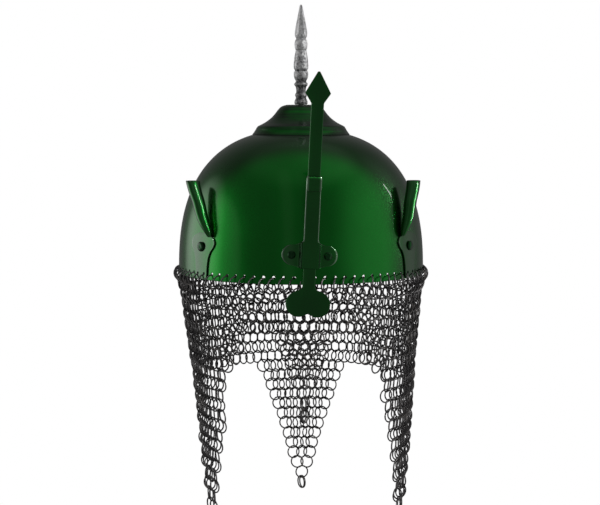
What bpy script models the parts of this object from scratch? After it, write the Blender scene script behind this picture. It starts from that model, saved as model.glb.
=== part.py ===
"""Kulah khud: a lacquered steel bowl helmet with a cast spike, a sliding nose bar,
two plume holders and a curtain of mail.

Metres, +Z up. The origin is the centre of the bowl's rim plane, the wearer's face
is towards -Y, and angles round the helmet are measured from the front towards +X.
"""

import math

import bmesh
import bpy
from mathutils import Matrix, Vector

MM = 0.001

# Fits
FIT_GAP = 0.3 * MM
EAR_GAP = 0.35 * MM
BORE_GAP = 0.35 * MM
TAIL_GAP = 0.75 * MM

# How far the cutters reach past what they cut
DRILL_INSIDE = 8.0 * MM
DRILL_OUTSIDE = 6.0 * MM
CUTTER_MARGIN = 2.0 * MM
OUTLINE_DEPTH = 14.0 * MM

# Bowl
BOWL_RADIUS = 108.0 * MM
BOWL_HEIGHT = 125.5 * MM
BOWL_FULLNESS = 2.55
BOWL_WALL = 1.2 * MM
BOWL_ROWS = 8

# Rim holes and the mail rings hung in them
RING_COUNT = 80
RIM_HOLE_RADIUS = 1.35 * MM
RIM_HOLE_HEIGHT = 5.7 * MM
RIM_BAND_HEIGHT = 2.0 * RIM_HOLE_HEIGHT
RING_STEP = 360.0 / RING_COUNT

# Apex cap
CAP_FOOT_RADIUS = 43.0 * MM
CAP_RISE = 26.0 * MM
CAP_WALL = 1.0 * MM
CAP_STEPS = 32

# Spike, its stud and its nut
SPIKE_LENGTH = 86.7 * MM
SPIKE_RADIUS = 6.5 * MM
SPIKE_STEPS = 12
STUD_RADIUS = 2.5 * MM
STUD_OVERHANG = 1.5 * MM
NUT_RADIUS = 5.2 * MM
NUT_HEIGHT = 4.0 * MM
NUT_SIDES = 6

# Nose bar
LEAN = 2.75
PIVOT_HEIGHT = 24.0 * MM
BAR_STAND_OFF = 3.2 * MM
BAR_THICKNESS = 2.5 * MM
BAR_HALF_WIDTH = 5.1 * MM
BAR_TOP = 123.0 * MM
KITE_LENGTH = 25.3 * MM
KITE_HALF_WIDTH = 10.4 * MM
KITE_SHOULDER = 8.0 * MM
LOBE_RADIUS = 10.6 * MM
LOBE_SPREAD = 7.6 * MM
LOBE_DROP = 38.6 * MM
NOTCH_DEPTH = 1.8 * MM
NECK_FILLET = 3.0 * MM
BAR_BEVEL = 0.4 * MM

# Nose bar bracket
SHEET = 1.5 * MM
GUIDE_HALF_WIDTH = BAR_HALF_WIDTH + 1.3 * MM
EAR_RADIUS = 8.3 * MM
EAR_SPREAD = 14.6 * MM
BRIDGE_DROP = 10.0 * MM
BRIDGE_CHAMFER = 0.9 * MM
FILLET_TOP = 14.0 * MM
TONGUE_HALF_WIDTH = BAR_HALF_WIDTH + 1.0 * MM
TONGUE_RISE = 62.0 * MM
HOOK_RADIUS = 2.0 * MM
HOOK_DROP = 9.5 * MM

# Plume holders
PLUME_RING_STEPS = 12
PLATE_WALL = 1.2 * MM
PLATE_FOOT = 0.8 * MM
PLATE_HEIGHT = 38.8 * MM
PLATE_HALF_WIDTH = 16.0 * MM
TUBE_FOOT_HEIGHT = 36.5 * MM
TUBE_HEIGHT = 46.0 * MM
TUBE_RADIUS = 5.9 * MM
TUBE_WALL = 1.2 * MM
TUBE_FRONT_OFFSET = 10.8 * MM
TUBE_SWEEP = 22.7 * MM
TUBE_REACH = 8.0 * MM
TUBE_STEPS = 12

# Rivets
PLUME_RIVET_HEIGHT = 28.0 * MM
PLUME_RIVET_RADIUS = 4.2 * MM
BRACKET_RIVET_RADIUS = 3.3 * MM
RIVET_SHANK_RADIUS = 1.7 * MM
RIVET_TAIL_RADIUS = 2.8 * MM
RIVET_TAIL_HEIGHT = 1.0 * MM
RIVET_STEPS = 8
RIVET_HOLE_SIDES = 8

# Mail curtain
MAIL_WALL = 3.0 * MM
MAIL_ROW_PITCH = 9.2 * MM
MAIL_RING_RADIUS = 6.2 * MM
MAIL_FIRST_DROP = 0.6 * MM
MAIL_BANDS = 4

# Outer side of the apex cap, from its foot up. The radius is a share of
# CAP_FOOT_RADIUS and the rise is a share of CAP_RISE.
CAP_PROFILE = (
    # radius, rise
    (1.000, 0.000),
    (0.952, 0.100),
    (0.900, 0.250),
    (0.879, 0.285),
    (0.777, 0.365),
    (0.684, 0.460),
    (0.595, 0.580),
    (0.526, 0.710),
    (0.470, 0.840),
    (0.400, 0.955),
    (0.293, 1.000),
)

# Turned beads of the spike, from its seat up. The height is a share of
# SPIKE_LENGTH and the radius is a share of SPIKE_RADIUS.
SPIKE_PROFILE = (
    # height, radius
    (0.000, 0.80),
    (0.015, 0.86),
    (0.055, 0.84),
    (0.072, 0.70),
    (0.100, 0.82),
    (0.115, 0.74),
    (0.165, 0.66),
    (0.195, 0.80),
    (0.216, 0.93),
    (0.236, 0.76),
    (0.296, 1.00),
    (0.330, 0.95),
    (0.347, 0.85),
    (0.366, 1.00),
    (0.446, 0.96),
    (0.557, 0.76),
    (0.562, 0.70),
    (0.575, 0.82),
    (0.655, 0.82),
    (0.670, 0.70),
    (0.712, 0.81),
    (0.857, 0.55),
    (1.000, 0.17),
)

# Leaf plate of a plume holder, from its foot up. The height is a share of
# PLATE_HEIGHT and the half width is a share of PLATE_HALF_WIDTH.
PLATE_PROFILE = (
    # height, half width
    (0.00, 0.36),
    (0.06, 0.45),
    (0.28, 0.50),
    (0.48, 0.59),
    (0.60, 0.73),
    (0.69, 0.91),
    (0.80, 1.00),
    (0.90, 0.86),
    (0.96, 0.60),
    (1.00, 0.30),
)

# Plume tube, from its pinched foot up. Shares of TUBE_HEIGHT, TUBE_RADIUS,
# TUBE_SWEEP (towards the back) and TUBE_REACH (away from the bowl).
TUBE_SECTIONS = (
    # height, radius, sweep, reach
    (0.00, 0.32, 0.00, 0.00),
    (0.10, 0.56, 0.05, 0.01),
    (0.23, 0.76, 0.16, 0.06),
    (0.40, 0.87, 0.32, 0.14),
    (0.62, 0.92, 0.52, 0.34),
    (0.82, 0.97, 0.77, 0.65),
    (1.00, 1.00, 1.00, 1.00),
)
TUBE_BORE_START = 2

# Lower edge of the mail, round the helmet from the back by the left side, the
# front and the right side. Places are ring steps from the front, with the
# right side positive, and the length is a count of ring rows.
MAIL_EDGE = (
    # ring step, rows
    (-41.4, 24.0),
    (-40.6, 24.0),
    (-35.2, 12.0),
    (-34.4, 11.0),
    (-23.0, 11.0),
    (-22.0, 12.0),
    (-16.4, 25.0),
    (-15.6, 25.0),
    (-6.8, 5.0),
    (-4.2, 5.0),
    (-3.6, 6.0),
    (-0.9, 13.0),
    (-0.1, 13.0),
    (2.6, 6.0),
    (3.2, 5.0),
    (6.0, 5.0),
    (15.6, 25.0),
    (16.4, 25.0),
    (22.0, 12.0),
    (23.0, 11.0),
    (32.0, 11.0),
    (32.8, 12.0),
    (38.6, 24.0),
)

# Inward hang of the mail. The depth is a share of the longest dag and the
# radius is a share of BOWL_RADIUS.
MAIL_TAPER = (
    # depth, radius
    (0.00, 1.000),
    (0.15, 0.971),
    (0.31, 0.926),
    (0.47, 0.891),
    (0.63, 0.865),
    (0.91, 0.827),
    (1.00, 0.820),
)


def between(table, place, column=1):
    """Value of a table's column at a place along its first column."""
    first = table[0]
    for row in table[1:]:
        if place <= row[0]:
            share = (place - first[0]) / (row[0] - first[0])
            return first[column] + share * (row[column] - first[column])
        first = row
    return table[-1][column]


def around(angle, radius, height):
    """Point at an angle in degrees from the front, towards +X."""
    turn = math.radians(angle)
    return Vector((radius * math.sin(turn), -radius * math.cos(turn), height))


def bowl_radius(height):
    """Outer radius of the bowl at a height."""
    share = min(max(height, 0.0) / BOWL_HEIGHT, 1.0)
    return BOWL_RADIUS * (1.0 - share ** BOWL_FULLNESS) ** (1.0 / BOWL_FULLNESS)


def bowl_height(radius):
    """Height of the bowl's outer side at a radius."""
    share = radius / BOWL_RADIUS
    return BOWL_HEIGHT * (1.0 - share ** BOWL_FULLNESS) ** (1.0 / BOWL_FULLNESS)


def inward(radius, height, depth):
    """Point of the bowl's profile moved square to the surface, inwards."""
    power = BOWL_FULLNESS - 1.0
    across = (radius / BOWL_RADIUS) ** power / BOWL_RADIUS
    along = (height / BOWL_HEIGHT) ** power / BOWL_HEIGHT
    size = math.hypot(across, along)
    return radius - depth * across / size, height - depth * along / size


def lacquer(name, colour, metallic, roughness):
    """Plain Principled material."""
    material = bpy.data.materials.new(name)
    material.use_nodes = True
    shader = material.node_tree.nodes["Principled BSDF"]
    shader.inputs["Base Color"].default_value = (*colour, 1.0)
    shader.inputs["Metallic"].default_value = metallic
    shader.inputs["Roughness"].default_value = roughness
    return material


def named_object(name, shape, material=None):
    """Close a bmesh into a named object with its faces pointing out."""
    bmesh.ops.recalc_face_normals(shape, faces=shape.faces)
    mesh = bpy.data.meshes.new(name)
    shape.to_mesh(mesh)
    shape.free()
    if material:
        mesh.materials.append(material)
    item = bpy.data.objects.new(name, mesh)
    bpy.context.scene.collection.objects.link(item)
    return item


def smooth(item, angle=40.0):
    """Shade the round faces smooth and keep the sharp edges."""
    item.data.shade_smooth()
    item.data.set_sharp_from_angle(angle=math.radians(angle))


def as_guide(item):
    """Leave a cutter or a joined shape out of the model."""
    item.hide_render = True
    item.display_type = "WIRE"
    return item


def combine(item, other, operation):
    """Boolean modifier with another object."""
    modifier = item.modifiers.new(other.name, "BOOLEAN")
    modifier.operation = operation
    modifier.solver = "EXACT"
    modifier.object = other


def skin(shape, rings, closed=False):
    """Join rings of points with faces. Open rings of rings get end faces."""
    rows = [[shape.verts.new(point) for point in ring] for ring in rings]
    pairs = list(zip(rows, rows[1:]))
    if closed:
        pairs.append((rows[-1], rows[0]))
    for low, high in pairs:
        for here in range(len(low)):
            there = (here + 1) % len(low)
            shape.faces.new((low[here], low[there], high[there], high[here]))
    if not closed:
        shape.faces.new(rows[0])
        shape.faces.new(rows[-1])


def turned_rings(profile, steps, turn=0.0):
    """Rings of points for a profile of (radius, height) turned about Z."""
    pitch = 360.0 / steps
    return [[around(pitch * step + turn, radius, height) for step in range(steps)]
            for radius, height in profile]


def prism(shape, outline, low, high, place):
    """Extrude an outline. place(a, b, depth) gives a point in space."""
    skin(shape, [[place(a, b, depth) for a, b in outline] for depth in (low, high)])


def facing_out(angle, height):
    """Matrix that turns +Z outwards from the bowl at an angle and height."""
    turn = math.radians(angle)
    out = Vector((math.sin(turn), -math.cos(turn), 0.0))
    side = Vector((math.cos(turn), math.sin(turn), 0.0))
    up = out.cross(side)
    frame = Matrix((side, up, out)).transposed().to_4x4()
    frame.translation = Vector((0.0, 0.0, height))
    return frame


def radial_drills(name, places, radius, sides):
    """Cutter with one bar for each (angle, height), through the bowl's wall."""
    shape = bmesh.new()
    start = BOWL_RADIUS - DRILL_INSIDE
    end = BOWL_RADIUS + DRILL_OUTSIDE
    for angle, height in places:
        frame = facing_out(angle, height)
        bar = turned_rings(((radius, start), (radius, end)), sides)
        skin(shape, [[frame @ point for point in ring] for ring in bar])
    return as_guide(named_object(name, shape))


def leaned(across, rise):
    """Where a point of the leaning nose bar group lies across and up."""
    lean = math.radians(LEAN)
    return (across * math.cos(lean) + rise * math.sin(lean),
            PIVOT_HEIGHT - across * math.sin(lean) + rise * math.cos(lean))


def bracket_rivet_place(side):
    """Angle and height of a bracket rivet."""
    across, height = leaned(side * EAR_SPREAD, 0.0)
    return math.degrees(math.asin(across / bowl_radius(height))), height


def plume_angle(side):
    """Angle of a plume holder's middle line, midway between two rim holes."""
    return side * PLUME_RING_STEPS * RING_STEP


def arc(centre, radius, start, end, count):
    """Points along an arc, angles in degrees from +a towards +b."""
    points = []
    for step in range(count + 1):
        turn = math.radians(start + (end - start) * step / count)
        points.append((centre[0] + radius * math.cos(turn), centre[1] + radius * math.sin(turn)))
    return points


# Bowl and what stands on its crown


def bowl_profile():
    """Closed profile of the bowl's wall, pierced at the crown for the stud."""
    bore = STUD_RADIUS + BORE_GAP
    start = math.asin((RIM_BAND_HEIGHT / BOWL_HEIGHT) ** (BOWL_FULLNESS / 2.0))
    end = math.acos((bore / BOWL_RADIUS) ** (BOWL_FULLNESS / 2.0))
    outer = [(BOWL_RADIUS, 0.0)]
    for row in range(BOWL_ROWS + 1):
        turn = start + (end - start) * row / BOWL_ROWS
        outer.append((BOWL_RADIUS * math.cos(turn) ** (2.0 / BOWL_FULLNESS),
                      BOWL_HEIGHT * math.sin(turn) ** (2.0 / BOWL_FULLNESS)))
    inner = [inward(radius, height, BOWL_WALL) for radius, height in outer]
    inner[0] = (BOWL_RADIUS - BOWL_WALL, 0.0)
    inner[-1] = (bore, BOWL_HEIGHT - BOWL_WALL)
    return outer + inner[::-1]


def make_bowl(material, rim_drill, rivet_drill):
    shape = bmesh.new()
    skin(shape, turned_rings(bowl_profile(), RING_COUNT), closed=True)
    bowl = named_object("bowl", shape, material)
    combine(bowl, rim_drill, "DIFFERENCE")
    combine(bowl, rivet_drill, "DIFFERENCE")
    smooth(bowl)


def cap_top():
    """Height of the cap's flat top."""
    return bowl_height(CAP_FOOT_RADIUS) + FIT_GAP + CAP_RISE


def make_cap(material):
    foot = bowl_height(CAP_FOOT_RADIUS) + FIT_GAP
    outer = [(radius * CAP_FOOT_RADIUS, foot + rise * CAP_RISE) for radius, rise in CAP_PROFILE]
    inner_foot = CAP_FOOT_RADIUS - CAP_WALL
    inner = [(inner_foot, bowl_height(inner_foot) + FIT_GAP)]
    for before, here, after in zip(outer, outer[1:], outer[2:]):
        across = before[0] - after[0]
        along = after[1] - before[1]
        size = math.hypot(across, along)
        inner.append((here[0] - CAP_WALL * along / size, here[1] - CAP_WALL * across / size))
    bore = STUD_RADIUS + BORE_GAP
    top = cap_top()
    outer.append((bore, top))
    inner.append((outer[-2][0], top - CAP_WALL))
    inner.append((bore, top - CAP_WALL))
    shape = bmesh.new()
    skin(shape, turned_rings(outer + inner[::-1], CAP_STEPS), closed=True)
    smooth(named_object("apex_cap", shape, material))


def make_spike(material):
    seat = cap_top() + FIT_GAP
    foot = BOWL_HEIGHT - BOWL_WALL - FIT_GAP - NUT_HEIGHT - STUD_OVERHANG
    profile = [(STUD_RADIUS, foot), (STUD_RADIUS, seat)]
    for height, radius in SPIKE_PROFILE:
        profile.append((radius * SPIKE_RADIUS, seat + height * SPIKE_LENGTH))
    shape = bmesh.new()
    skin(shape, turned_rings(profile, SPIKE_STEPS))
    smooth(named_object("spike", shape, material), 30.0)


def make_nut(material):
    top = BOWL_HEIGHT - BOWL_WALL - FIT_GAP
    bore = (STUD_RADIUS + BORE_GAP) / math.cos(math.pi / NUT_SIDES)
    low = top - NUT_HEIGHT
    profile = ((NUT_RADIUS, low), (NUT_RADIUS, top), (bore, top), (bore, low))
    shape = bmesh.new()
    skin(shape, turned_rings(profile, NUT_SIDES), closed=True)
    named_object("spike_nut", shape, material)


# Nose bar and its bracket, in a frame that leans about the pivot


def bar_middle():
    """Distance from the axis to the middle of the nose bar's thickness."""
    return BOWL_RADIUS + BAR_STAND_OFF + BAR_THICKNESS / 2.0


def put_on_pivot(item):
    """Place an object of the nose bar group on the bar's own sliding axis."""
    item.location = (0.0, -bar_middle(), PIVOT_HEIGHT)
    item.rotation_euler = (0.0, math.radians(LEAN), 0.0)


def bar_outline():
    """Right half of the nose bar's outline, from the bottom notch to the tip."""
    shoulder = BAR_TOP + KITE_SHOULDER
    neck = LOBE_RADIUS - LOBE_DROP
    points = [(0.0, NOTCH_DEPTH - LOBE_DROP - LOBE_RADIUS)]
    points += arc((LOBE_SPREAD, -LOBE_DROP), LOBE_RADIUS, -105.0, 70.0, 14)
    points += [
        (BAR_HALF_WIDTH + NECK_FILLET * 0.6, neck + NECK_FILLET * 0.4),
        (BAR_HALF_WIDTH, neck + NECK_FILLET * 1.5),
        (BAR_HALF_WIDTH, BAR_TOP),
        (KITE_HALF_WIDTH * 0.95, shoulder - KITE_SHOULDER * 0.16),
        (KITE_HALF_WIDTH, shoulder),
        (KITE_HALF_WIDTH * 0.93, shoulder + KITE_LENGTH * 0.06),
        (KITE_HALF_WIDTH * 0.45, BAR_TOP + KITE_LENGTH * 0.72),
        (KITE_HALF_WIDTH * 0.08, BAR_TOP + KITE_LENGTH),
    ]
    return points


def make_bar(material):
    right = bar_outline()
    left = [(-across, rise) for across, rise in right[:0:-1]]
    shape = bmesh.new()
    half = BAR_THICKNESS / 2.0
    prism(shape, right + left, -half, half, lambda a, b, depth: Vector((a, depth, b)))
    bar = named_object("nasal_bar", shape, material)
    bevel = bar.modifiers.new("edge", "BEVEL")
    bevel.width = BAR_BEVEL
    bevel.segments = 1
    bevel.limit_method = "ANGLE"
    bevel.angle_limit = math.radians(60.0)
    smooth(bar, 30.0)
    put_on_pivot(bar)


def bracket_section(rise):
    """Level section of the bracket's bent sheet: two ears and a raised bridge."""
    middle = bar_middle()
    ear = bowl_radius(PIVOT_HEIGHT + rise) + EAR_GAP
    inner_face = -(BAR_THICKNESS / 2.0 + FIT_GAP)
    outer_face = inner_face - SHEET
    side = GUIDE_HALF_WIDTH + SHEET
    reach = EAR_SPREAD + EAR_RADIUS + CUTTER_MARGIN / 2.0
    outer = [(side - BRIDGE_CHAMFER, outer_face), (side, outer_face + BRIDGE_CHAMFER)]
    inner = []
    for step in range(5):
        across = side + (reach - side) * step / 4.0
        outer.append((across, middle - math.sqrt((ear + SHEET) ** 2 - across ** 2)))
        across = reach + (GUIDE_HALF_WIDTH - reach) * step / 4.0
        inner.append((across, middle - math.sqrt(ear ** 2 - across ** 2)))
    inner.append((GUIDE_HALF_WIDTH, inner_face))
    right = outer + inner
    left = [(-across, depth) for across, depth in right[::-1]]
    return [Vector((across, depth, rise)) for across, depth in right + left]


def bracket_outline():
    """Front outline of the bracket without its tongue."""
    fillet = []
    wide = EAR_SPREAD - TONGUE_HALF_WIDTH
    deep = FILLET_TOP - EAR_RADIUS
    for step in range(1, 6):
        turn = math.radians(90.0 * step / 6.0)
        fillet.append((EAR_SPREAD - wide * math.cos(turn), FILLET_TOP - deep * math.sin(turn)))
    side = GUIDE_HALF_WIDTH + SHEET
    right = [(TONGUE_HALF_WIDTH, FILLET_TOP)] + fillet
    right += arc((EAR_SPREAD, 0.0), EAR_RADIUS, 90.0, -90.0, 12)
    right += [(side + (EAR_SPREAD - side) * 0.25, -EAR_RADIUS - (BRIDGE_DROP - EAR_RADIUS) * 0.3),
              (side, -BRIDGE_DROP)]
    return right + [(-across, rise) for across, rise in right[::-1]]


def tongue_profile():
    """Side profile of the tongue that lies over the bar and curls over at its top."""
    inner_face = -(BAR_THICKNESS / 2.0 + FIT_GAP)
    outer_face = inner_face - SHEET
    curl = (outer_face + SHEET / 2.0 - HOOK_RADIUS, TONGUE_RISE)
    tip = TONGUE_RISE - HOOK_DROP
    outer = arc(curl, HOOK_RADIUS + SHEET / 2.0, 0.0, 180.0, 8)
    inner = arc(curl, HOOK_RADIUS - SHEET / 2.0, 180.0, 0.0, 6)
    far = outer[-1][0]
    end = [(far, tip + SHEET / 3.0), (far + SHEET / 3.0, tip), (far + SHEET, tip)]
    foot = -BRIDGE_DROP / 2.0
    return [(inner_face, foot)] + outer + end + inner + [(outer_face, foot)]


def make_bracket(material, rivet_drill):
    levels = (-BRIDGE_DROP - CUTTER_MARGIN, 0.0, FILLET_TOP, FILLET_TOP + CUTTER_MARGIN)
    shape = bmesh.new()
    skin(shape, [bracket_section(rise) for rise in levels])
    bracket = named_object("nasal_bracket", shape, material)

    shape = bmesh.new()
    prism(shape, bracket_outline(), -OUTLINE_DEPTH, OUTLINE_DEPTH,
          lambda a, b, depth: Vector((a, depth, b)))
    outline = as_guide(named_object("bracket_outline", shape))

    shape = bmesh.new()
    prism(shape, tongue_profile(), -TONGUE_HALF_WIDTH, TONGUE_HALF_WIDTH,
          lambda a, b, depth: Vector((depth, a, b)))
    tongue = as_guide(named_object("bracket_tongue", shape))

    for item in (bracket, outline, tongue):
        put_on_pivot(item)
    combine(bracket, outline, "INTERSECT")
    combine(bracket, tongue, "UNION")
    combine(bracket, rivet_drill, "DIFFERENCE")
    smooth(bracket, 35.0)


# Plume holders


def plate_rings(side):
    """Level sections of the leaf plate, bent to the bowl's outer side."""
    middle = plume_angle(side)
    rings = []
    for share, width in PLATE_PROFILE:
        height = PLATE_FOOT + share * PLATE_HEIGHT
        near = bowl_radius(height) + FIT_GAP
        half = math.degrees(width * PLATE_HALF_WIDTH / BOWL_RADIUS)
        stops = [-1.0 + 2.0 * step / 4.0 for step in range(5)]
        front = [around(middle + half * stop, near + PLATE_WALL, height) for stop in stops]
        back = [around(middle + half * stop, near, height) for stop in stops[::-1]]
        rings.append(front + back)
    return rings


def tube_ring(side, section, inset):
    """Level section of the plume tube, inset by its wall for the bore."""
    share, width, sweep, reach = section
    height = TUBE_FOOT_HEIGHT + share * TUBE_HEIGHT
    radius = width * TUBE_RADIUS
    stand = bowl_radius(height) + EAR_GAP + radius + reach * TUBE_REACH
    offset = sweep * TUBE_SWEEP - TUBE_FRONT_OFFSET
    angle = plume_angle(side) + side * math.degrees(offset / BOWL_RADIUS)
    centre = around(angle, stand, height)
    pitch = 360.0 / TUBE_STEPS
    return [centre + around(pitch * step, radius - inset, 0.0) for step in range(TUBE_STEPS)]


def make_plume_holder(name, side, material, rim_drill, rivet_drill):
    shape = bmesh.new()
    skin(shape, plate_rings(side))
    holder = named_object(name, shape, material)

    outer = [tube_ring(side, section, 0.0) for section in TUBE_SECTIONS]
    bore = [tube_ring(side, section, TUBE_WALL) for section in TUBE_SECTIONS[TUBE_BORE_START:]]
    shape = bmesh.new()
    skin(shape, outer + bore[::-1])
    tube = as_guide(named_object(name + "_tube", shape))

    combine(holder, tube, "UNION")
    combine(holder, rim_drill, "DIFFERENCE")
    combine(holder, rivet_drill, "DIFFERENCE")
    smooth(holder, 35.0)


# Rivets


def make_rivet(name, place, head_radius, seat, material):
    """Rivet with a domed head outside, a shank and a hammered tail inside the bowl.

    seat is the distance from the bowl's outer side to the face under the head.
    """
    angle, height = place
    radius = bowl_radius(height)
    under = radius + seat + FIT_GAP
    tail = radius - BOWL_WALL - TAIL_GAP
    rise = head_radius * 0.6
    profile = [
        (RIVET_TAIL_RADIUS * 0.8, tail - RIVET_TAIL_HEIGHT),
        (RIVET_TAIL_RADIUS, tail),
        (RIVET_SHANK_RADIUS, tail),
        (RIVET_SHANK_RADIUS, under),
        (head_radius, under),
        (head_radius * 0.92, under + rise * 0.45),
        (head_radius * 0.62, under + rise * 0.85),
        (head_radius * 0.22, under + rise),
    ]
    frame = facing_out(angle, height)
    shape = bmesh.new()
    rings = turned_rings(profile, RIVET_STEPS)
    skin(shape, [[frame @ point for point in ring] for ring in rings])
    smooth(named_object(name, shape, material), 50.0)


# Mail curtain


def mail_depth(rows):
    """Depth below the rim plane that a count of ring rows reaches."""
    return MAIL_FIRST_DROP + MAIL_ROW_PITCH * (rows - 1.0) + MAIL_RING_RADIUS


def mail_rows(step):
    """Count of ring rows hanging at a ring step from the front."""
    start = MAIL_EDGE[0][0]
    turns = math.floor((step - start) / RING_COUNT)
    place = step - turns * RING_COUNT
    lap = MAIL_EDGE + ((start + RING_COUNT, MAIL_EDGE[0][1]),)
    return between(lap, place)


def mail_steps():
    """Ring steps where the curtain has a column: each ring and each corner."""
    corners = [row[0] for row in MAIL_EDGE]
    start = math.ceil(corners[0])
    rings = [start + step for step in range(RING_COUNT)]
    apart = [ring for ring in rings if min(abs(ring - corner) for corner in corners) > 0.35]
    return sorted(corners + apart)


def make_mail(material):
    """Closed band with the thickness and outline of the hanging rings."""
    longest = mail_depth(max(row[1] for row in MAIL_EDGE))
    shape = bmesh.new()
    rings = []
    for step in mail_steps():
        bottom = mail_depth(mail_rows(step))
        outer = []
        inner = []
        for band in range(MAIL_BANDS + 1):
            depth = FIT_GAP + (bottom - FIT_GAP) * band / MAIL_BANDS
            radius = BOWL_RADIUS * between(MAIL_TAPER, depth / longest)
            outer.append(around(step * RING_STEP, radius, -depth))
            inner.append(around(step * RING_STEP, radius - MAIL_WALL, -depth))
        rings.append(outer + inner[::-1])
    skin(shape, rings, closed=True)
    smooth(named_object("mail_curtain", shape, material), 60.0)


def main():
    for item in list(bpy.data.objects):
        bpy.data.objects.remove(item)

    green = lacquer("green_lacquer", (0.010, 0.130, 0.025), 0.70, 0.18)
    cast = lacquer("cast_metal", (0.42, 0.43, 0.45), 0.90, 0.38)
    iron = lacquer("dark_rivet_iron", (0.035, 0.050, 0.040), 0.80, 0.45)
    black = lacquer("black_mail", (0.020, 0.020, 0.022), 0.80, 0.40)

    rim_places = [((step + 0.5) * RING_STEP, RIM_HOLE_HEIGHT) for step in range(RING_COUNT)]
    rim_drill = radial_drills("rim_hole_cutter", rim_places, RIM_HOLE_RADIUS, 6)
    sides = (("left", -1.0), ("right", 1.0))
    plume_rivets = {side: (plume_angle(side), PLUME_RIVET_HEIGHT) for _, side in sides}
    bracket_rivets = {side: bracket_rivet_place(side) for _, side in sides}
    rivet_places = list(plume_rivets.values()) + list(bracket_rivets.values())
    rivet_bore = (RIVET_SHANK_RADIUS + BORE_GAP) / math.cos(math.pi / RIVET_HOLE_SIDES)
    rivet_drill = radial_drills("rivet_hole_cutter", rivet_places, rivet_bore, RIVET_HOLE_SIDES)

    make_bowl(green, rim_drill, rivet_drill)
    make_cap(green)
    make_spike(cast)
    make_nut(cast)
    make_bar(green)
    make_bracket(green, rivet_drill)
    for word, side in sides:
        make_plume_holder("plume_holder_" + word, side, green, rim_drill, rivet_drill)
        make_rivet("plume_rivet_" + word, plume_rivets[side], PLUME_RIVET_RADIUS,
                   FIT_GAP + PLATE_WALL, iron)
        make_rivet("bracket_rivet_" + word, bracket_rivets[side], BRACKET_RIVET_RADIUS,
                   EAR_GAP + SHEET, iron)
    make_mail(black)


main()
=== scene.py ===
"""Looks of the kulah khud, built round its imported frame.

Metres, +Z up, the face towards -Y, the origin in the bowl's rim plane. Angles round
the helmet are in degrees from the front towards +X.
"""

import math
import random

import bmesh
import bpy
import numpy as np
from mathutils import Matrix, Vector


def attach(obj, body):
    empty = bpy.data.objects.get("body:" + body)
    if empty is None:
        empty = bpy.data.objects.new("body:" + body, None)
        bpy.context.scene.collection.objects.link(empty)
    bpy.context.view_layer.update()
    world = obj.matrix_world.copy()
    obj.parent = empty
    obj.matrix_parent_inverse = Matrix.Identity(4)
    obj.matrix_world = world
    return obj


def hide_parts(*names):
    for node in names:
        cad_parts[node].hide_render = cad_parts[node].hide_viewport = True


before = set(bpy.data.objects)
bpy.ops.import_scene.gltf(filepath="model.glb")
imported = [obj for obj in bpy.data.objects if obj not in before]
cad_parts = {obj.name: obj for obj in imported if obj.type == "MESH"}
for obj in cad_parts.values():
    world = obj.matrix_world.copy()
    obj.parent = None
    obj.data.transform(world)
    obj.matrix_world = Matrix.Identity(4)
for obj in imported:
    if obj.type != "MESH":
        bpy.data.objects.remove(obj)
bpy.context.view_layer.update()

MM = 0.001
SEED = 20613

# Camera, as fitted to the photo's rim and spike
CAMERA_AZIMUTH = -3.8
CAMERA_DISTANCE = 1.25
CAMERA_HEIGHT = 0.1314
CAMERA_TILT = 5.247
CAMERA_LENS = 84.87
CAMERA_SENSOR = 36.0
AXIS_OFFSET = 0.88 * MM

# Studio: the middle of the bright window behind the left side, the light of the bare room, the
# place that all lights face, and the floor
WINDOW_DIRECTION = (-0.920, 0.387, 0.060)
DIM_ROOM = 0.12
LIT_PLACE = (0.0, 0.0, 0.03)
FLOOR_LEVEL = -0.42
FLOOR_REACH = 4.0

# Fits, as in the part's source
FIT_GAP = 0.3 * MM
EAR_GAP = 0.35 * MM
BORE_GAP = 0.35 * MM

# Bowl
BOWL_RADIUS = 108.0 * MM
BOWL_HEIGHT = 125.5 * MM
BOWL_FULLNESS = 2.55
BOWL_WALL = 1.2 * MM
BOWL_ROWS = 60
RING_COUNT = 80
RING_STEP = 360.0 / RING_COUNT
CELL_COLUMNS = 4
RIM_HOLE_RADIUS = 1.35 * MM
RIM_HOLE_HEIGHT = 5.7 * MM
RIM_BAND_HEIGHT = 2.0 * RIM_HOLE_HEIGHT
HOLE_SIDES = 4 * CELL_COLUMNS
HOLE_START = 225.0
HOLE_APRON = 1.9
LIP_STEPS = 6

# Apex cap
CAP_FOOT_RADIUS = 43.0 * MM
CAP_RISE = 26.0 * MM
CAP_WALL = 1.0 * MM
CAP_STEPS = 128

# Spike
SPIKE_LENGTH = 86.7 * MM
SPIKE_RADIUS = 6.5 * MM
SPIKE_STEPS = 72
STUD_RADIUS = 2.5 * MM
STUD_FOOT = 118.5 * MM
POINT_SIDES = 6
POINT_START = 0.690
POINT_FULL = 0.730
POINT_SPREAD = 1.06
CROWN_REACH = 0.016
CROWN_DEPTH = 0.10

# Heights between which the spike stops being darker towards the bottom, and where it turns paler towards
# the top
DARK_END = 158.0 * MM
PALE_START = 182.0 * MM
PALE_FULL = 208.0 * MM
# Greys of the cast metal, from tarnish and painted shade in its grooves to pale wear and a painted
# highlight on its beads
CAST_GREYS = (
    # stain with painted shade and highlight, colour
    (0.36, (0.025, 0.026, 0.028)),
    (0.49, (0.20, 0.20, 0.205)),
    (0.60, (0.58, 0.58, 0.585)),
    (0.78, (0.94, 0.94, 0.95)),
)
PALE_GREY = (0.72, 0.72, 0.725)

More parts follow.
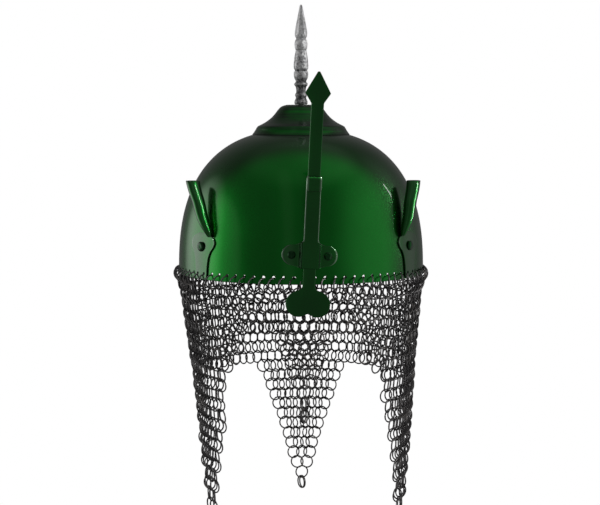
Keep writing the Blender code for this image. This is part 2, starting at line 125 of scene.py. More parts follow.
# Nose bar
LEAN = 2.75
PIVOT_HEIGHT = 24.0 * MM
BAR_STAND_OFF = 3.2 * MM
BAR_THICKNESS = 2.5 * MM
BAR_HALF_WIDTH = 5.1 * MM
BAR_TOP = 123.0 * MM
KITE_LENGTH = 25.3 * MM
KITE_HALF_WIDTH = 10.4 * MM
KITE_SHOULDER = 8.0 * MM
KITE_WAIST = 2.0 * MM
KITE_BLUNT = 0.08
LOBE_RADIUS = 10.6 * MM
LOBE_SPREAD = 7.6 * MM
LOBE_DROP = 39.2 * MM
LOBE_START = -105.0
LOBE_SWEEP = 175.0
LOBE_STEPS = 44
NOTCH_DEPTH = 2.6 * MM
NECK_FILLET = 3.0 * MM
BAR_BEVEL = 0.55 * MM

# Curve from the lobes into the bar, in shares of NECK_FILLET: past the bar's side, rise
NECK_CURVE = ((0.5, 0.35), (0.0, 1.1), (0.0, 2.0))

# Nose bar bracket
SHEET = 1.5 * MM
GUIDE_HALF_WIDTH = BAR_HALF_WIDTH + 1.3 * MM
EAR_RADIUS = 8.3 * MM
EAR_SPREAD = 14.6 * MM
BRIDGE_DROP = 10.0 * MM
FILLET_TOP = 14.0 * MM
TONGUE_HALF_WIDTH = 6.1 * MM
TONGUE_RISE = 62.0 * MM
HOOK_RADIUS = 2.0 * MM
EDGE_ROUND = 0.45 * MM
EAR_ROWS = 12
EAR_ROW_PITCH = 1.1 * MM
BEND_REACH = 2.4 * MM
# Reach of the painted shade on each side of the folds beside the bridge
FOLD_SHADE_REACH = 1.0 * MM
FOOT_ROUND = 0.3 * MM
FOOT_THINNING = 0.4 * MM
QUARTER_STEPS = 12
HOOK_STEPS = 12
MERGE_GAP = 0.004 * MM

# Attributes painted on the bracket: where its edges get a painted highlight, and where its folds get
# painted shade
EDGE_HIGHLIGHT = "edge_highlight"
FOLD_SHADE = "fold_shade"

# Deepest and lightest green of each lacquer, its colour where streaked, its painted highlight and its
# painted shade
BOWL_GREENS = ((0.0050, 0.265, 0.021), (0.0070, 0.350, 0.030))
CAP_GREENS = ((0.0045, 0.180, 0.016), (0.0070, 0.300, 0.026))
FLAT_GREENS = ((0.0060, 0.150, 0.017), (0.0080, 0.215, 0.024))
RIVET_GREENS = ((0.0040, 0.055, 0.012), (0.0080, 0.120, 0.022))
STREAK_GREEN = (0.022, 0.060, 0.030)
CORNER_HIGHLIGHT_GREEN = (0.50, 0.62, 0.52)
EDGE_HIGHLIGHT_GREEN = (0.62, 0.74, 0.64)
FOLD_SHADE_GREEN = (0.016, 0.045, 0.020)

# Bends of the bracket's sheet in millimetres: how far past the side of the bridge or of its
# guide, and how far off the bridge's face or off the ear's face
OUTER_BRIDGE_BEND = ((-3.0, 0.0), (-1.6, 0.03), (-0.9, 0.18), (-0.4, 0.5), (-0.1, 1.0), (0.0, 1.7))
OUTER_EAR_BEND = ((0.05, 1.1), (0.25, 0.5), (0.7, 0.12), (1.4, 0.0), (2.4, 0.0))
INNER_BRIDGE_BEND = ((-2.6, 0.0), (-0.6, 0.06), (-0.2, 0.3), (0.0, 0.8))
INNER_EAR_BEND = ((0.02, 0.6), (0.2, 0.2), (0.7, 0.0), (1.6, 0.0), (3.9, 0.0))

# Rounded edge of the sheet: share of its wall, share of EDGE_ROUND
EDGE_BULGE = ((0.12, 0.6), (0.3, 0.92), (0.5, 1.0), (0.7, 0.92), (0.88, 0.6))

# Levels of the bracket below its ears and along its tongue, in millimetres above the pivot
BRIDGE_RISES = (-9.6, -9.1, -8.7)
TONGUE_RISES = (18.0, 26.0, 36.0, 48.0, 56.0)

# End of the curled tongue in millimetres: drop, narrowing of each side, thinning of each face
HOOK_END = ((3.0, 0.0, 0.0), (7.5, 0.0, 0.0), (8.8, 0.3, 0.0), (9.3, 0.8, 0.3), (9.5, 1.2, 0.6))

# Plume holders
PLUME_RING_STEPS = 12
PLATE_WALL = 1.2 * MM
PLATE_FOOT = 0.8 * MM
PLATE_HEIGHT = 38.8 * MM
PLATE_HALF_WIDTH = 16.0 * MM
PLATE_LEVELS = 36
PLATE_COLUMNS = 10
PLATE_EDGE = 0.35 * MM
TUBE_FOOT_HEIGHT = 36.5 * MM
TUBE_HEIGHT = 46.0 * MM
TUBE_RADIUS = 5.9 * MM
TUBE_WALL = 1.2 * MM
TUBE_FRONT_OFFSET = 10.8 * MM
TUBE_SWEEP = 22.7 * MM
TUBE_REACH = 8.0 * MM
TUBE_STEPS = 40
TUBE_LEVELS = 30
TUBE_BORE_START = 0.23
TUBE_LEAN = {"left": 6.5 * MM, "right": 1.5 * MM}

# Pins that cut the holes through the plates
PIN_SIDES = 20
PIN_DEPTH = 4.0 * MM
PIN_HEIGHT = 8.0 * MM

# Rivets
PLUME_RIVET_HEIGHT = 28.0 * MM
PLUME_RIVET_RADIUS = 4.2 * MM
BRACKET_RIVET_RADIUS = 3.3 * MM
RIVET_SHANK_RADIUS = 1.7 * MM
RIVET_TAIL_RADIUS = 2.8 * MM
RIVET_TAIL_HEIGHT = 1.0 * MM
RIVET_TAIL_GAP = 0.75 * MM
RIVET_STEPS = 32
RIVET_DENTS = 6
RIVET_DENT_DEPTH = 0.22 * MM

# Mail rings
WIRE_RADIUS = 0.65 * MM
LINK_RADIUS = 5.7 * MM
LINK_SEGMENTS = 24
WIRE_SIDES = 6
LINK_CUT = 2.4
FIRST_ROW_HEIGHT = -0.65 * MM
SECOND_ROW_DROP = 7.9 * MM
ROW_PITCH = 9.14 * MM
TIP_PITCH = 9.51 * MM
EVEN_ROWS = 16
ROWS_LONGEST = 25
HANG_INSET = 3.0 * MM
HANG_SPREAD = 0.8 * MM
LONGEST_DAG = 227.6 * MM
ROW_SLACK = 0.25
SWAY = 3.1 * MM
SWAY_DEPTH = 140.0 * MM
TIP_LINK_PITCH = 9.9 * MM
TWIN_GAP = 1.5 * MM
TWIN_SPLAY = 5.0
TWIN_ROLL_PLAY = 3.0
SECOND_ROW_OUT = 1.6 * MM
SLOPE_SPAN = 4.0 * MM

# Where the rings of a point draw together: in ring steps to each side, and over how many rows
POINT_REACH = 11.0
POINT_FADE = 4.5
POINT_EASE = 3

# Turns of the rings out of the mail's surface, more where the rows are tight, and the play
# of each ring about its place
RIM_LINK_TURN = -54.0
LINK_TURN = 25.0
TIGHT_TURN = 12.0
TIGHT_SHARE = 0.19
EDGE_TURN_SHARE = 0.4
TURN_PLAY = 7.0
SLOPE_PLAY = 4.0
ROLL_PLAY = 5.0
PLACE_PLAY = 0.35 * MM

# Outer side of the apex cap, in shares of CAP_FOOT_RADIUS and CAP_RISE
CAP_PROFILE = (
    # radius, rise
    (1.000, 0.000),
    (0.952, 0.100),
    (0.900, 0.250),
    (0.879, 0.285),
    (0.777, 0.365),
    (0.684, 0.460),
    (0.595, 0.580),
    (0.526, 0.710),
    (0.470, 0.840),
    (0.400, 0.955),
    (0.293, 1.000),
)

# Beads of the cast spike, in shares of SPIKE_LENGTH and SPIKE_RADIUS
SPIKE_PROFILE = (
    # height, radius
    (0.000, 0.80),
    (0.006, 0.88),
    (0.023, 0.90),
    (0.044, 0.84),
    (0.058, 0.71),
    (0.073, 0.69),
    (0.090, 0.82),
    (0.106, 0.78),
    (0.123, 0.63),
    (0.151, 0.66),
    (0.180, 0.71),
    (0.190, 0.84),
    (0.201, 0.94),
    (0.214, 0.89),
    (0.225, 0.69),
    (0.244, 0.74),
    (0.265, 0.91),
    (0.301, 1.00),
    (0.330, 0.94),
    (0.342, 0.79),
    (0.355, 0.92),
    (0.372, 0.99),
    (0.415, 0.98),
    (0.472, 0.89),
    (0.515, 0.80),
    (0.541, 0.74),
    (0.549, 0.69),
    (0.561, 0.82),
    (0.601, 0.88),
    (0.636, 0.83),
    (0.650, 0.71),
    (0.663, 0.63),
    (0.678, 0.77),
    (0.690, 0.84),
    (0.708, 0.83),
    (0.757, 0.74),
    (0.829, 0.57),
    (0.900, 0.39),
    (0.971, 0.21),
    (0.993, 0.15),
    (1.000, 0.08),
)

# Leaf plate of a plume holder, in shares of PLATE_HEIGHT and PLATE_HALF_WIDTH
PLATE_PROFILE = (
    # height, half width
    (0.00, 0.36),
    (0.06, 0.45),
    (0.28, 0.50),
    (0.48, 0.59),
    (0.60, 0.73),
    (0.69, 0.91),
    (0.80, 1.00),
    (0.90, 0.86),
    (0.96, 0.60),
    (1.00, 0.30),
)

# Plume tube, in shares of TUBE_HEIGHT, TUBE_RADIUS, TUBE_SWEEP and TUBE_REACH
TUBE_SECTIONS = (
    # height, radius, sweep, reach
    (0.00, 0.32, 0.00, 0.00),
    (0.10, 0.56, 0.05, 0.01),
    (0.23, 0.76, 0.16, 0.06),
    (0.40, 0.87, 0.32, 0.14),
    (0.62, 0.92, 0.52, 0.34),
    (0.82, 0.97, 0.77, 0.65),
    (1.00, 1.00, 1.00, 1.00),
)

# Tones of the mail's wire over a noise
WIRE_TONES = (
    # noise, colour
    (0.30, (0.012, 0.011, 0.012)),
    (0.55, (0.030, 0.028, 0.028)),
    (0.78, (0.090, 0.082, 0.075)),
)

# Rounded lip of a plume tube: millimetres below the mouth, share of the wall
TUBE_LIP = ((0.45, 0.0), (0.12, 0.12), (0.0, 0.35), (0.0, 0.65), (0.12, 0.88), (0.45, 1.0))

# Lower edge of the mail: ring steps from the front and rows of rings
MAIL_EDGE = (
    # ring step, rows
    (-40.5, 23.25),
    (-34.9, 12.0),
    (-34.2, 11.0),
    (-23.0, 11.0),
    (-22.0, 12.0),
    (-16.0, 24.25),
    (-6.8, 5.0),
    (-4.2, 5.0),
    (-3.6, 6.0),
    (-0.5, 11.25),
    (2.6, 6.0),
    (3.2, 5.0),
    (5.3, 5.0),
    (15.5, 25.25),
    (22.0, 12.0),
    (23.0, 11.0),
    (33.0, 11.0),
    (33.9, 12.0),
)

# Points of the mail: step of the middle, row of the last single ring, row where the
# point starts to draw together, and the turns of the links that hang below
MAIL_POINTS = (
    # ring step, tip row, top row, links
    (-0.5, 11, 5, (66.0, -62.0)),
    (-16.0, 24, 8, (70.0,)),
    (15.5, 25, 8, ()),
    (39.5, 23, 10, (62.0,)),
)

# Spacing of the rings across a point, as shares of the ring step
TIP_SPACING = (
    # rows above the tip, share
    (0.0, 1.37),
    (1.0, 1.33),
    (2.0, 1.10),
    (3.0, 0.90),
    (5.0, 0.87),
)

# Room for the sliding nose bar, which crosses the rim at BAR_FOOT_ANGLE: how far the rim's rings
# sit in beside it
BAR_FOOT_ANGLE = 1.0
BAR_ROOM = (
    # degrees from the bar, millimetres
    (0.0, 3.6),
    (4.0, 3.6),
    (5.0, 1.8),
    (9.0, 1.6),
    (10.0, 0.0),
    (180.0, 0.0),
)

# Inward hang of the mail, in shares of LONGEST_DAG and BOWL_RADIUS
MAIL_TAPER = (
    # depth, radius
    (0.00, 1.000),
    (0.15, 0.971),
    (0.31, 0.926),
    (0.47, 0.891),
    (0.63, 0.865),
    (0.91, 0.827),
    (1.00, 0.820),
)

# Lights of the studio, unseen by the camera, in degrees and metres. A light with pieces shines
# on those alone and is mirrored in them. A light without pieces fills the shade.
MAIL_PIECES = ("mail_left", "mail_front", "mail_right")
LIGHTS = (
    # name, azimuth, elevation, distance, width, height, radiance, pieces
    ("front_fill", -20.0, 35.0, 1.6, 1.4, 1.0, 2.0, ()),
    ("right_fill", 80.0, 25.0, 1.6, 0.5, 1.0, 9.0, ()),
    ("bowl_strip", 104.0, 16.0, 1.3, 0.03, 0.75, 9.0, ("bowl_shell", "apex_cap_turned")),
    ("right_strip", 78.0, 22.0, 1.3, 0.03, 0.9, 60.0, ("spike_cast", "plume_socket_right")),
    ("mail_light_left", -38.0, 30.0, 1.4, 0.4, 0.8, 12.0, MAIL_PIECES),
    ("mail_light_right", 62.0, 25.0, 1.4, 0.4, 0.8, 24.0, MAIL_PIECES),
    ("left_strip", 54.0, 42.0, 1.3, 0.02, 1.6, 75.0, ("nose_bar_bracket", "plume_socket_left")),
)


# Small geometry helpers


def clamped(value):
    return min(max(value, 0.0), 1.0)


def between(table, place, column=1):
    """Value of a table's column at a place along its first column."""
    first = table[0]
    for row in table[1:]:
        if place <= row[0]:
            share = (place - first[0]) / (row[0] - first[0])
            return first[column] + share * (row[column] - first[column])
        first = row
    return table[-1][column]


def flowing(table, place, column=1):
    """Value of a table's column on a smooth curve through its rows."""
    for index in range(len(table) - 1):
        if place <= table[index + 1][0]:
            break
    near, far = table[index], table[index + 1]
    before = table[max(index - 1, 0)]
    after = table[min(index + 2, len(table) - 1)]
    span = far[0] - near[0]
    share = clamped((place - near[0]) / span)
    leave = (far[column] - before[column]) / (far[0] - before[0]) * span
    arrive = (after[column] - near[column]) / (after[0] - near[0]) * span
    square, cube = share * share, share ** 3
    return ((2.0 * cube - 3.0 * square + 1.0) * near[column] + (cube - 2.0 * square + share) * leave
            + (3.0 * square - 2.0 * cube) * far[column] + (cube - square) * arrive)


def partway(near, far, share):
    """Point at a share of the way from one point to another."""
    return tuple(a + share * (b - a) for a, b in zip(near, far))


def rounded(points, passes):
    """Profile with its corners cut again and again."""
    for _ in range(passes):
        cut = [points[0]]
        for near, far in zip(points, points[1:]):
            cut += [partway(near, far, share) for share in (0.25, 0.75)]
        cut.append(points[-1])
        points = cut
    return points


def around(angle, radius, height):
    """Point at an angle from the front, towards +X."""
    turn = math.radians(angle)
    return Vector((radius * math.sin(turn), -radius * math.cos(turn), height))


def bowl_radius(height):
    """Outer radius of the bowl at a height."""
    share = clamped(height / BOWL_HEIGHT)
    return BOWL_RADIUS * (1.0 - share ** BOWL_FULLNESS) ** (1.0 / BOWL_FULLNESS)


def bowl_height(radius):
    """Height of the bowl's outer side at a radius."""
    share = radius / BOWL_RADIUS
    return BOWL_HEIGHT * (1.0 - share ** BOWL_FULLNESS) ** (1.0 / BOWL_FULLNESS)


def inward(radius, height, depth):
    """Point of the bowl's profile moved square to the surface, inwards."""
    power = BOWL_FULLNESS - 1.0
    across = (radius / BOWL_RADIUS) ** power / BOWL_RADIUS
    along = (height / BOWL_HEIGHT) ** power / BOWL_HEIGHT
    size = math.hypot(across, along)
    return radius - depth * across / size, height - depth * along / size


def facing_out(angle):
    """Directions (across, up, out) of a place on the bowl's side."""
    turn = math.radians(angle)
    side = Vector((math.cos(turn), math.sin(turn), 0.0))
    out = Vector((math.sin(turn), -math.cos(turn), 0.0))
    return side, Vector((0.0, 0.0, 1.0)), out


def band(shape, near, far):
    """Faces between two rings of vertices."""
    for here in range(len(near)):
        there = (here + 1) % len(near)
        shape.faces.new((near[here], near[there], far[there], far[here]))


def vertex_rings(shape, rings):
    """Vertices for rings of points."""
    return [[shape.verts.new(point) for point in ring] for ring in rings]


def skin(shape, rings, closed=False):
    """Vertices and faces for rings of points, with end faces if the rows are open."""
    rows = vertex_rings(shape, rings)
    for near, far in zip(rows, rows[1:]):
        band(shape, near, far)
    if closed:
        band(shape, rows[-1], rows[0])
    else:
        shape.faces.new(rows[0])
        shape.faces.new(rows[-1])
    return rows


def turned_rings(profile, steps):
    """Rings of points for a profile of (radius, height) turned about Z."""
    pitch = 360.0 / steps
    return [[around(pitch * step, radius, height) for step in range(steps)]
            for radius, height in profile]


def side_rings(angle, height, profile, steps, sunk=None):
    """Rings about a line out of the bowl's side, for a profile of (radius, reach)."""
    side, up, out = facing_out(angle)
    rings = []
    for radius, reach in profile:
        ring = []
        for step in range(steps):
            turn = 2.0 * math.pi * step / steps
            across = radius * math.cos(turn)
            along = radius * math.sin(turn)
            far = reach - sunk(across, along, reach) if sunk else reach
            ring.append(out * far + side * across + up * (height + along))
        rings.append(ring)
    return rings


def in_scene(name, data):
    """Object linked into the scene."""
    item = bpy.data.objects.new(name, data)
    bpy.context.scene.collection.objects.link(item)
    return item


def aimed(name, data, place, target):
    """Camera or lamp in the scene that looks at a target."""
    item = in_scene(name, data)
    item.location = place
    item.rotation_mode = "QUATERNION"
    item.rotation_quaternion = (target - place).to_track_quat("-Z", "Y")
    return item


def new_object(name, shape, merge=0.0):
    """Object from a bmesh, with its faces pointing out."""
    if merge:
        bmesh.ops.remove_doubles(shape, verts=shape.verts, dist=merge)
        bmesh.ops.dissolve_degenerate(shape, edges=shape.edges, dist=merge)
    bmesh.ops.recalc_face_normals(shape, faces=shape.faces)
    mesh = bpy.data.meshes.new(name)
    shape.to_mesh(mesh)
    shape.free()
    return in_scene(name, mesh)


def solid(name, rings, closed=False):
    """Object from rings of points."""
    shape = bmesh.new()
    skin(shape, rings, closed)
    return new_object(name, shape)


def settle(item):
    """Replace an object's mesh by what its modifiers make of it."""
    graph = bpy.context.evaluated_depsgraph_get()
    made = bpy.data.meshes.new_from_object(item.evaluated_get(graph))
    item.modifiers.clear()
    old = item.data
    item.data = made
    bpy.data.meshes.remove(old)


def combine(item, others, operation):
    """Join or cut an object with helper objects, which are then removed."""
    for other in others:
        modifier = item.modifiers.new(other.name, "BOOLEAN")
        modifier.operation = operation
        modifier.solver = "EXACT"
        modifier.object = other
        bpy.context.view_layer.update()
        settle(item)
        bpy.data.objects.remove(other)


def dress(item, sharp, material, node, body="helmet"):
    """Smooth a piece up to an angle, give it its material and its body, and hide the imported node it
    stands for.
    """
    item.data.shade_smooth()
    item.data.set_sharp_from_angle(angle=math.radians(sharp))
    item.data.materials.clear()
    item.data.materials.append(material)
    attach(item, body)
    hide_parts(node)


# Materials


def feed(tree, node, inputs):
    """Set a node's inputs to numbers or colours, or link them to sockets."""
    for place, value in inputs.items():
        if isinstance(value, bpy.types.NodeSocket):
            tree.links.new(value, node.inputs[place])
        else:
            node.inputs[place].default_value = value


def add_node(tree, kind, inputs, operation=None):
    """Shader node of a kind, with its inputs fed."""
    node = tree.nodes.new("ShaderNode" + kind)
    if operation:
        node.operation = operation
    feed(tree, node, inputs)
    return node


def principled(name, base, metallic, roughness):
    """Material with its node tree and its Principled shader."""
    material = bpy.data.materials.new(name)
    material.use_nodes = True
    tree = material.node_tree
    shader = tree.nodes["Principled BSDF"]
    feed(tree, shader, {"Base Color": (*base, 1.0), "Metallic": metallic, "Roughness": roughness})
    return material, tree, shader


def coordinates(tree, space):
    return add_node(tree, "TexCoord", {}).outputs[space]


def noise(tree, scale, detail, roughness, stretch=(1.0, 1.0, 1.0)):
    """Noise in the object's own space, finer along an axis with a larger stretch."""
    spread = add_node(tree, "VectorMath", {0: coordinates(tree, "Object"), 1: stretch}, "MULTIPLY")
    return add_node(tree, "TexNoise", {
        "Vector": spread.outputs["Vector"],
        "Scale": scale,
        "Detail": detail,
        "Roughness": roughness,
    }).outputs["Fac"]


def pointiness(tree):
    return add_node(tree, "NewGeometry", {}).outputs["Pointiness"]


def painted(tree, attribute):
    """Value of a mesh attribute."""
    node = add_node(tree, "Attribute", {})
    node.attribute_name = attribute
    return node.outputs["Fac"]


def blended(tree, share, under, over):
    """Colour from a socket, mixed with a fixed colour by a share."""
    node = tree.nodes.new("ShaderNodeMix")
    node.data_type = "RGBA"
    tree.links.new(share, node.inputs["Factor"])
    colours = [socket for socket in node.inputs if socket.type == "RGBA"]
    tree.links.new(under, colours[0])
    colours[1].default_value = (*over, 1.0)
    return next(socket for socket in node.outputs if socket.type == "RGBA")


def scaled(tree, colour, factor):
    """Colour times a value."""
    return add_node(tree, "VectorMath", {"Vector": colour, "Scale": factor}, "SCALE").outputs["Vector"]


def ranged(tree, source, low, high, to_low, to_high):
    """Map part of a value's range on to another range, smoothly."""
    node = add_node(tree, "MapRange", {"Value": source, "From Min": low, "From Max": high,
                                       "To Min": to_low, "To Max": to_high})
    node.interpolation_type = "SMOOTHSTEP"
    return node.outputs["Result"]


def graded(tree, source, stops):
    """Colour ramp over a value."""
    node = add_node(tree, "ValToRGB", {"Fac": source})
    ramp = node.color_ramp
    while len(ramp.elements) < len(stops):
        ramp.elements.new(0.5)
    for element, (place, colour) in zip(ramp.elements, stops):
        element.position = place
        element.color = (*colour, 1.0)
    return node.outputs["Color"]


def maths(tree, operation, first, second):
    """Sum or product of two sockets or numbers."""
    return add_node(tree, "Math", {0: first, 1: second}, operation).outputs["Value"]


def bump(tree, height, strength, distance, under=None):
    """Normal of a surface raised by a value, over another normal if there is one."""
    node = add_node(tree, "Bump", {"Strength": strength, "Distance": distance, "Height": height})
    if under is not None:
        tree.links.new(under, node.inputs["Normal"])
    return node.outputs["Normal"]


def lacquer(name, deep, light, waviness, coat=1.33, streaks=False, edges=None):
    """Clear-coated candy green over bright steel, deeper where it is seen at a slant.

    Edges, found by the shape's corners or by a painted attribute, get a painted highlight in pale green,
    and where another attribute says so the colour is darkened as painted shade and the gloss taken away.
    """
    material, tree, shader = principled(name, light, 1.0, 0.30)
    colour = graded(tree, noise(tree, 14.0, 3.0, 0.55), ((0.30, deep), (0.72, light)))
    waves = bump(tree, noise(tree, 26.0, 2.0, 0.45), waviness, 1.2 * MM)
    gloss = 1.0
    if streaks:
        rings = noise(tree, 1.6, 3.0, 0.6, stretch=(6.0, 6.0, 260.0))
        waves = bump(tree, rings, 0.35, 0.5 * MM, waves)
        colour = blended(tree, ranged(tree, rings, 0.35, 0.68, 0.0, 0.75), colour, STREAK_GREEN)
    slant = add_node(tree, "LayerWeight", {"Blend": 0.5}).outputs["Facing"]
    colour = scaled(tree, colour, ranged(tree, slant, 0.26, 0.46, 1.0, 0.36))
    # Pale green on corners and on painted edges is a painted highlight.
    if edges == "corners":
        edge_highlight = ranged(tree, pointiness(tree), 0.53, 0.60, 0.0, 0.7)
        colour = blended(tree, edge_highlight, colour, CORNER_HIGHLIGHT_GREEN)
    if edges == "painted":
        edge_highlight = ranged(tree, painted(tree, EDGE_HIGHLIGHT), 0.0, 1.0, 0.0, 0.35)
        colour = blended(tree, edge_highlight, colour, EDGE_HIGHLIGHT_GREEN)
        # Painted shade in the folds: darker colour and less gloss where that attribute is set.
        fold_shade_share = painted(tree, FOLD_SHADE)
        colour = blended(tree, ranged(tree, fold_shade_share, 0.0, 1.0, 0.0, 0.85), colour, FOLD_SHADE_GREEN)
        gloss = ranged(tree, fold_shade_share, 0.0, 1.0, 1.0, 0.12)
    speck = noise(tree, 900.0, 2.0, 0.6)
    dust = noise(tree, 60.0, 5.0, 0.65)
    feed(tree, shader, {
        "Base Color": colour,
        "Roughness": ranged(tree, speck, 0.25, 0.8, 0.27, 0.35),
        "Normal": bump(tree, speck, 0.012, 0.1 * MM, waves),
        "Coat Weight": gloss,
        "Coat IOR": coat,
        "Coat Roughness": ranged(tree, dust, 0.45, 0.80, 0.03, 0.10),
        "Coat Normal": waves,
    })
    return material


def cast_metal():
    """Grey metal as cast, with stains, tarnish and painted shade in its pits and grooves, a painted
    highlight on its beads, darker towards the bottom and paler at the top.
    """
    material, tree, shader = principled("cast_metal_surface", (0.36, 0.36, 0.37), 0.70, 0.38)
    # Pointiness paints shade into grooves and a highlight on beads, over stains from a noise.
    edge = ranged(tree, pointiness(tree), 0.40, 0.60, 0.0, 1.0)
    stain = noise(tree, 360.0, 5.0, 0.75)
    blotch = ranged(tree, stain, 0.30, 0.70, 0.02, 0.34)
    stain_and_painted_light = maths(tree, "ADD", maths(tree, "MULTIPLY", edge, 0.68), blotch)
    split = add_node(tree, "SeparateXYZ", {"Vector": coordinates(tree, "Object")})
    paler_high = ranged(tree, split.outputs["Z"], PALE_START, PALE_FULL, 0.0, 0.5)
    darker_low = ranged(tree, split.outputs["Z"], DARK_END, PALE_START, 0.45, 1.0)
    pits = bump(tree, noise(tree, 520.0, 5.0, 0.7), 0.75, 0.6 * MM)
    feed(tree, shader, {
        "Base Color": scaled(tree, blended(tree, paler_high, graded(tree, stain_and_painted_light, CAST_GREYS), PALE_GREY), darker_low),
        "Roughness": ranged(tree, stain, 0.3, 0.7, 0.26, 0.48),
        "Normal": bump(tree, stain, 0.60, 1.0 * MM, pits),
    })
    return material


def blackened_wire():
    """Blackened steel wire, with the odd rubbed or brown ring."""
    material, tree, shader = principled("blackened_wire", (0.05, 0.05, 0.05), 0.35, 0.42)
    scratch = noise(tree, 1500.0, 3.0, 0.6)
    feed(tree, shader, {
        "Base Color": graded(tree, noise(tree, 70.0, 4.0, 0.6), WIRE_TONES),
        "Roughness": ranged(tree, scratch, 0.3, 0.7, 0.28, 0.50),
        "Normal": bump(tree, scratch, 0.4, 0.12 * MM),
    })
    return material


def plain_steel():
    """Turned steel of the nut inside the bowl."""
    material, tree, shader = principled("plain_steel", (0.42, 0.42, 0.43), 0.9, 0.36)
    mark = noise(tree, 400.0, 4.0, 0.6)
    feed(tree, shader, {
        "Base Color": graded(tree, mark, ((0.3, (0.22, 0.22, 0.23)), (0.7, (0.46, 0.46, 0.47)))),
        "Roughness": ranged(tree, mark, 0.3, 0.7, 0.28, 0.45),
        "Normal": bump(tree, mark, 0.3, 0.1 * MM),
    })
    return material


# Bowl


def shell_rings(shape, points):
    """Rings of vertices round the whole bowl for (radius, height) points."""
    return vertex_rings(shape, turned_rings(points, RING_COUNT * CELL_COLUMNS))


def rim_side(shape, depth, low, high, low_height):
    """One side of the rim band, with a round hole in each cell. Gives the hole rings."""
    columns = len(low)
    levels = [low_height + (RIM_BAND_HEIGHT - low_height) * step / CELL_COLUMNS
              for step in range(1, CELL_COLUMNS)]
    posts = vertex_rings(shape, [[around(cell * RING_STEP, bowl_radius(height) - depth, height)
                                  for height in levels] for cell in range(RING_COUNT)])
    holes = []
    for cell in range(RING_COUNT):
        start = cell * CELL_COLUMNS
        edge = [low[start + step] for step in range(CELL_COLUMNS)]
        edge.append(low[(start + CELL_COLUMNS) % columns])
        edge += posts[(cell + 1) % RING_COUNT]
        edge += [high[(start + CELL_COLUMNS - step) % columns] for step in range(CELL_COLUMNS)]
        edge.append(high[start])
        edge += posts[cell][::-1]
        middle = (start + CELL_COLUMNS / 2.0) * 360.0 / columns
        rings = []
        for size in (HOLE_APRON, 1.0):
            ring = []
            for side in range(HOLE_SIDES):
                turn = math.radians(HOLE_START + 360.0 * side / HOLE_SIDES)
                height = RIM_HOLE_HEIGHT + size * RIM_HOLE_RADIUS * math.sin(turn)
                radius = bowl_radius(height) - depth
                across = size * RIM_HOLE_RADIUS * math.cos(turn)
                ring.append(shape.verts.new(around(middle + math.degrees(across / BOWL_RADIUS),
                                                   radius, height)))
            rings.append(ring)
        band(shape, edge, rings[0])
        band(shape, rings[0], rings[1])
        holes.append(rings[1])
    return holes


def make_bowl(material):
    shape = bmesh.new()
    bore = STUD_RADIUS + BORE_GAP
    start = math.asin((RIM_BAND_HEIGHT / BOWL_HEIGHT) ** (BOWL_FULLNESS / 2.0))
    end = math.acos((bore / BOWL_RADIUS) ** (BOWL_FULLNESS / 2.0))
    outer = []
    for row in range(BOWL_ROWS + 1):
        turn = start + (end - start) * row / BOWL_ROWS
        outer.append((BOWL_RADIUS * math.cos(turn) ** (2.0 / BOWL_FULLNESS),
                      BOWL_HEIGHT * math.sin(turn) ** (2.0 / BOWL_FULLNESS)))
    inner = [inward(radius, height, BOWL_WALL) for radius, height in outer]
    inner[-1] = (bore, BOWL_HEIGHT - BOWL_WALL)
    outer_rows = shell_rings(shape, outer)
    inner_rows = shell_rings(shape, inner)
    half = BOWL_WALL / 2.0
    lip = []
    for step in range(LIP_STEPS + 1):
        turn = math.pi * step / LIP_STEPS
        lip.append((BOWL_RADIUS - half + half * math.cos(turn), half - half * math.sin(turn)))
    lip_rows = shell_rings(shape, lip)
    outside = rim_side(shape, 0.0, lip_rows[0], outer_rows[0], half)
    inside = rim_side(shape, BOWL_WALL, lip_rows[-1], inner_rows[0], half)
    walls = list(zip(outside, inside))
    for rows in (outer_rows, inner_rows, lip_rows):
        walls += zip(rows, rows[1:])
    walls.append((outer_rows[-1], inner_rows[-1]))
    for near, far in walls:
        band(shape, near, far)
    dress(new_object("bowl_shell", shape), 40.0, material, "bowl")


# Cap, spike and nut


def cap_top():
    return bowl_height(CAP_FOOT_RADIUS) + FIT_GAP + CAP_RISE


def make_cap(material):
    foot = bowl_height(CAP_FOOT_RADIUS) + FIT_GAP
    bore = STUD_RADIUS + BORE_GAP
    top = cap_top()
    outer = [(radius * CAP_FOOT_RADIUS, foot + rise * CAP_RISE) for radius, rise in CAP_PROFILE]
    outer = rounded(outer, 3)
    inner_foot = CAP_FOOT_RADIUS - CAP_WALL
    inner = [(inner_foot, bowl_height(inner_foot) + FIT_GAP)]
    for before, here, after in zip(outer, outer[1:], outer[2:]):
        across = before[0] - after[0]
        along = after[1] - before[1]
        size = math.hypot(across, along)
        point = (here[0] - CAP_WALL * along / size, here[1] - CAP_WALL * across / size)
        if point[0] < inner[-1][0] and point[1] > bowl_height(point[0]) + FIT_GAP:
            inner.append(point)
    outer += [(bore, top)]
    inner += [(outer[-2][0], top - CAP_WALL), (bore, top - CAP_WALL)]
    cap = solid("apex_cap_turned", turned_rings(outer + inner[::-1], CAP_STEPS), closed=True)
    dress(cap, 40.0, material, "apex_cap")


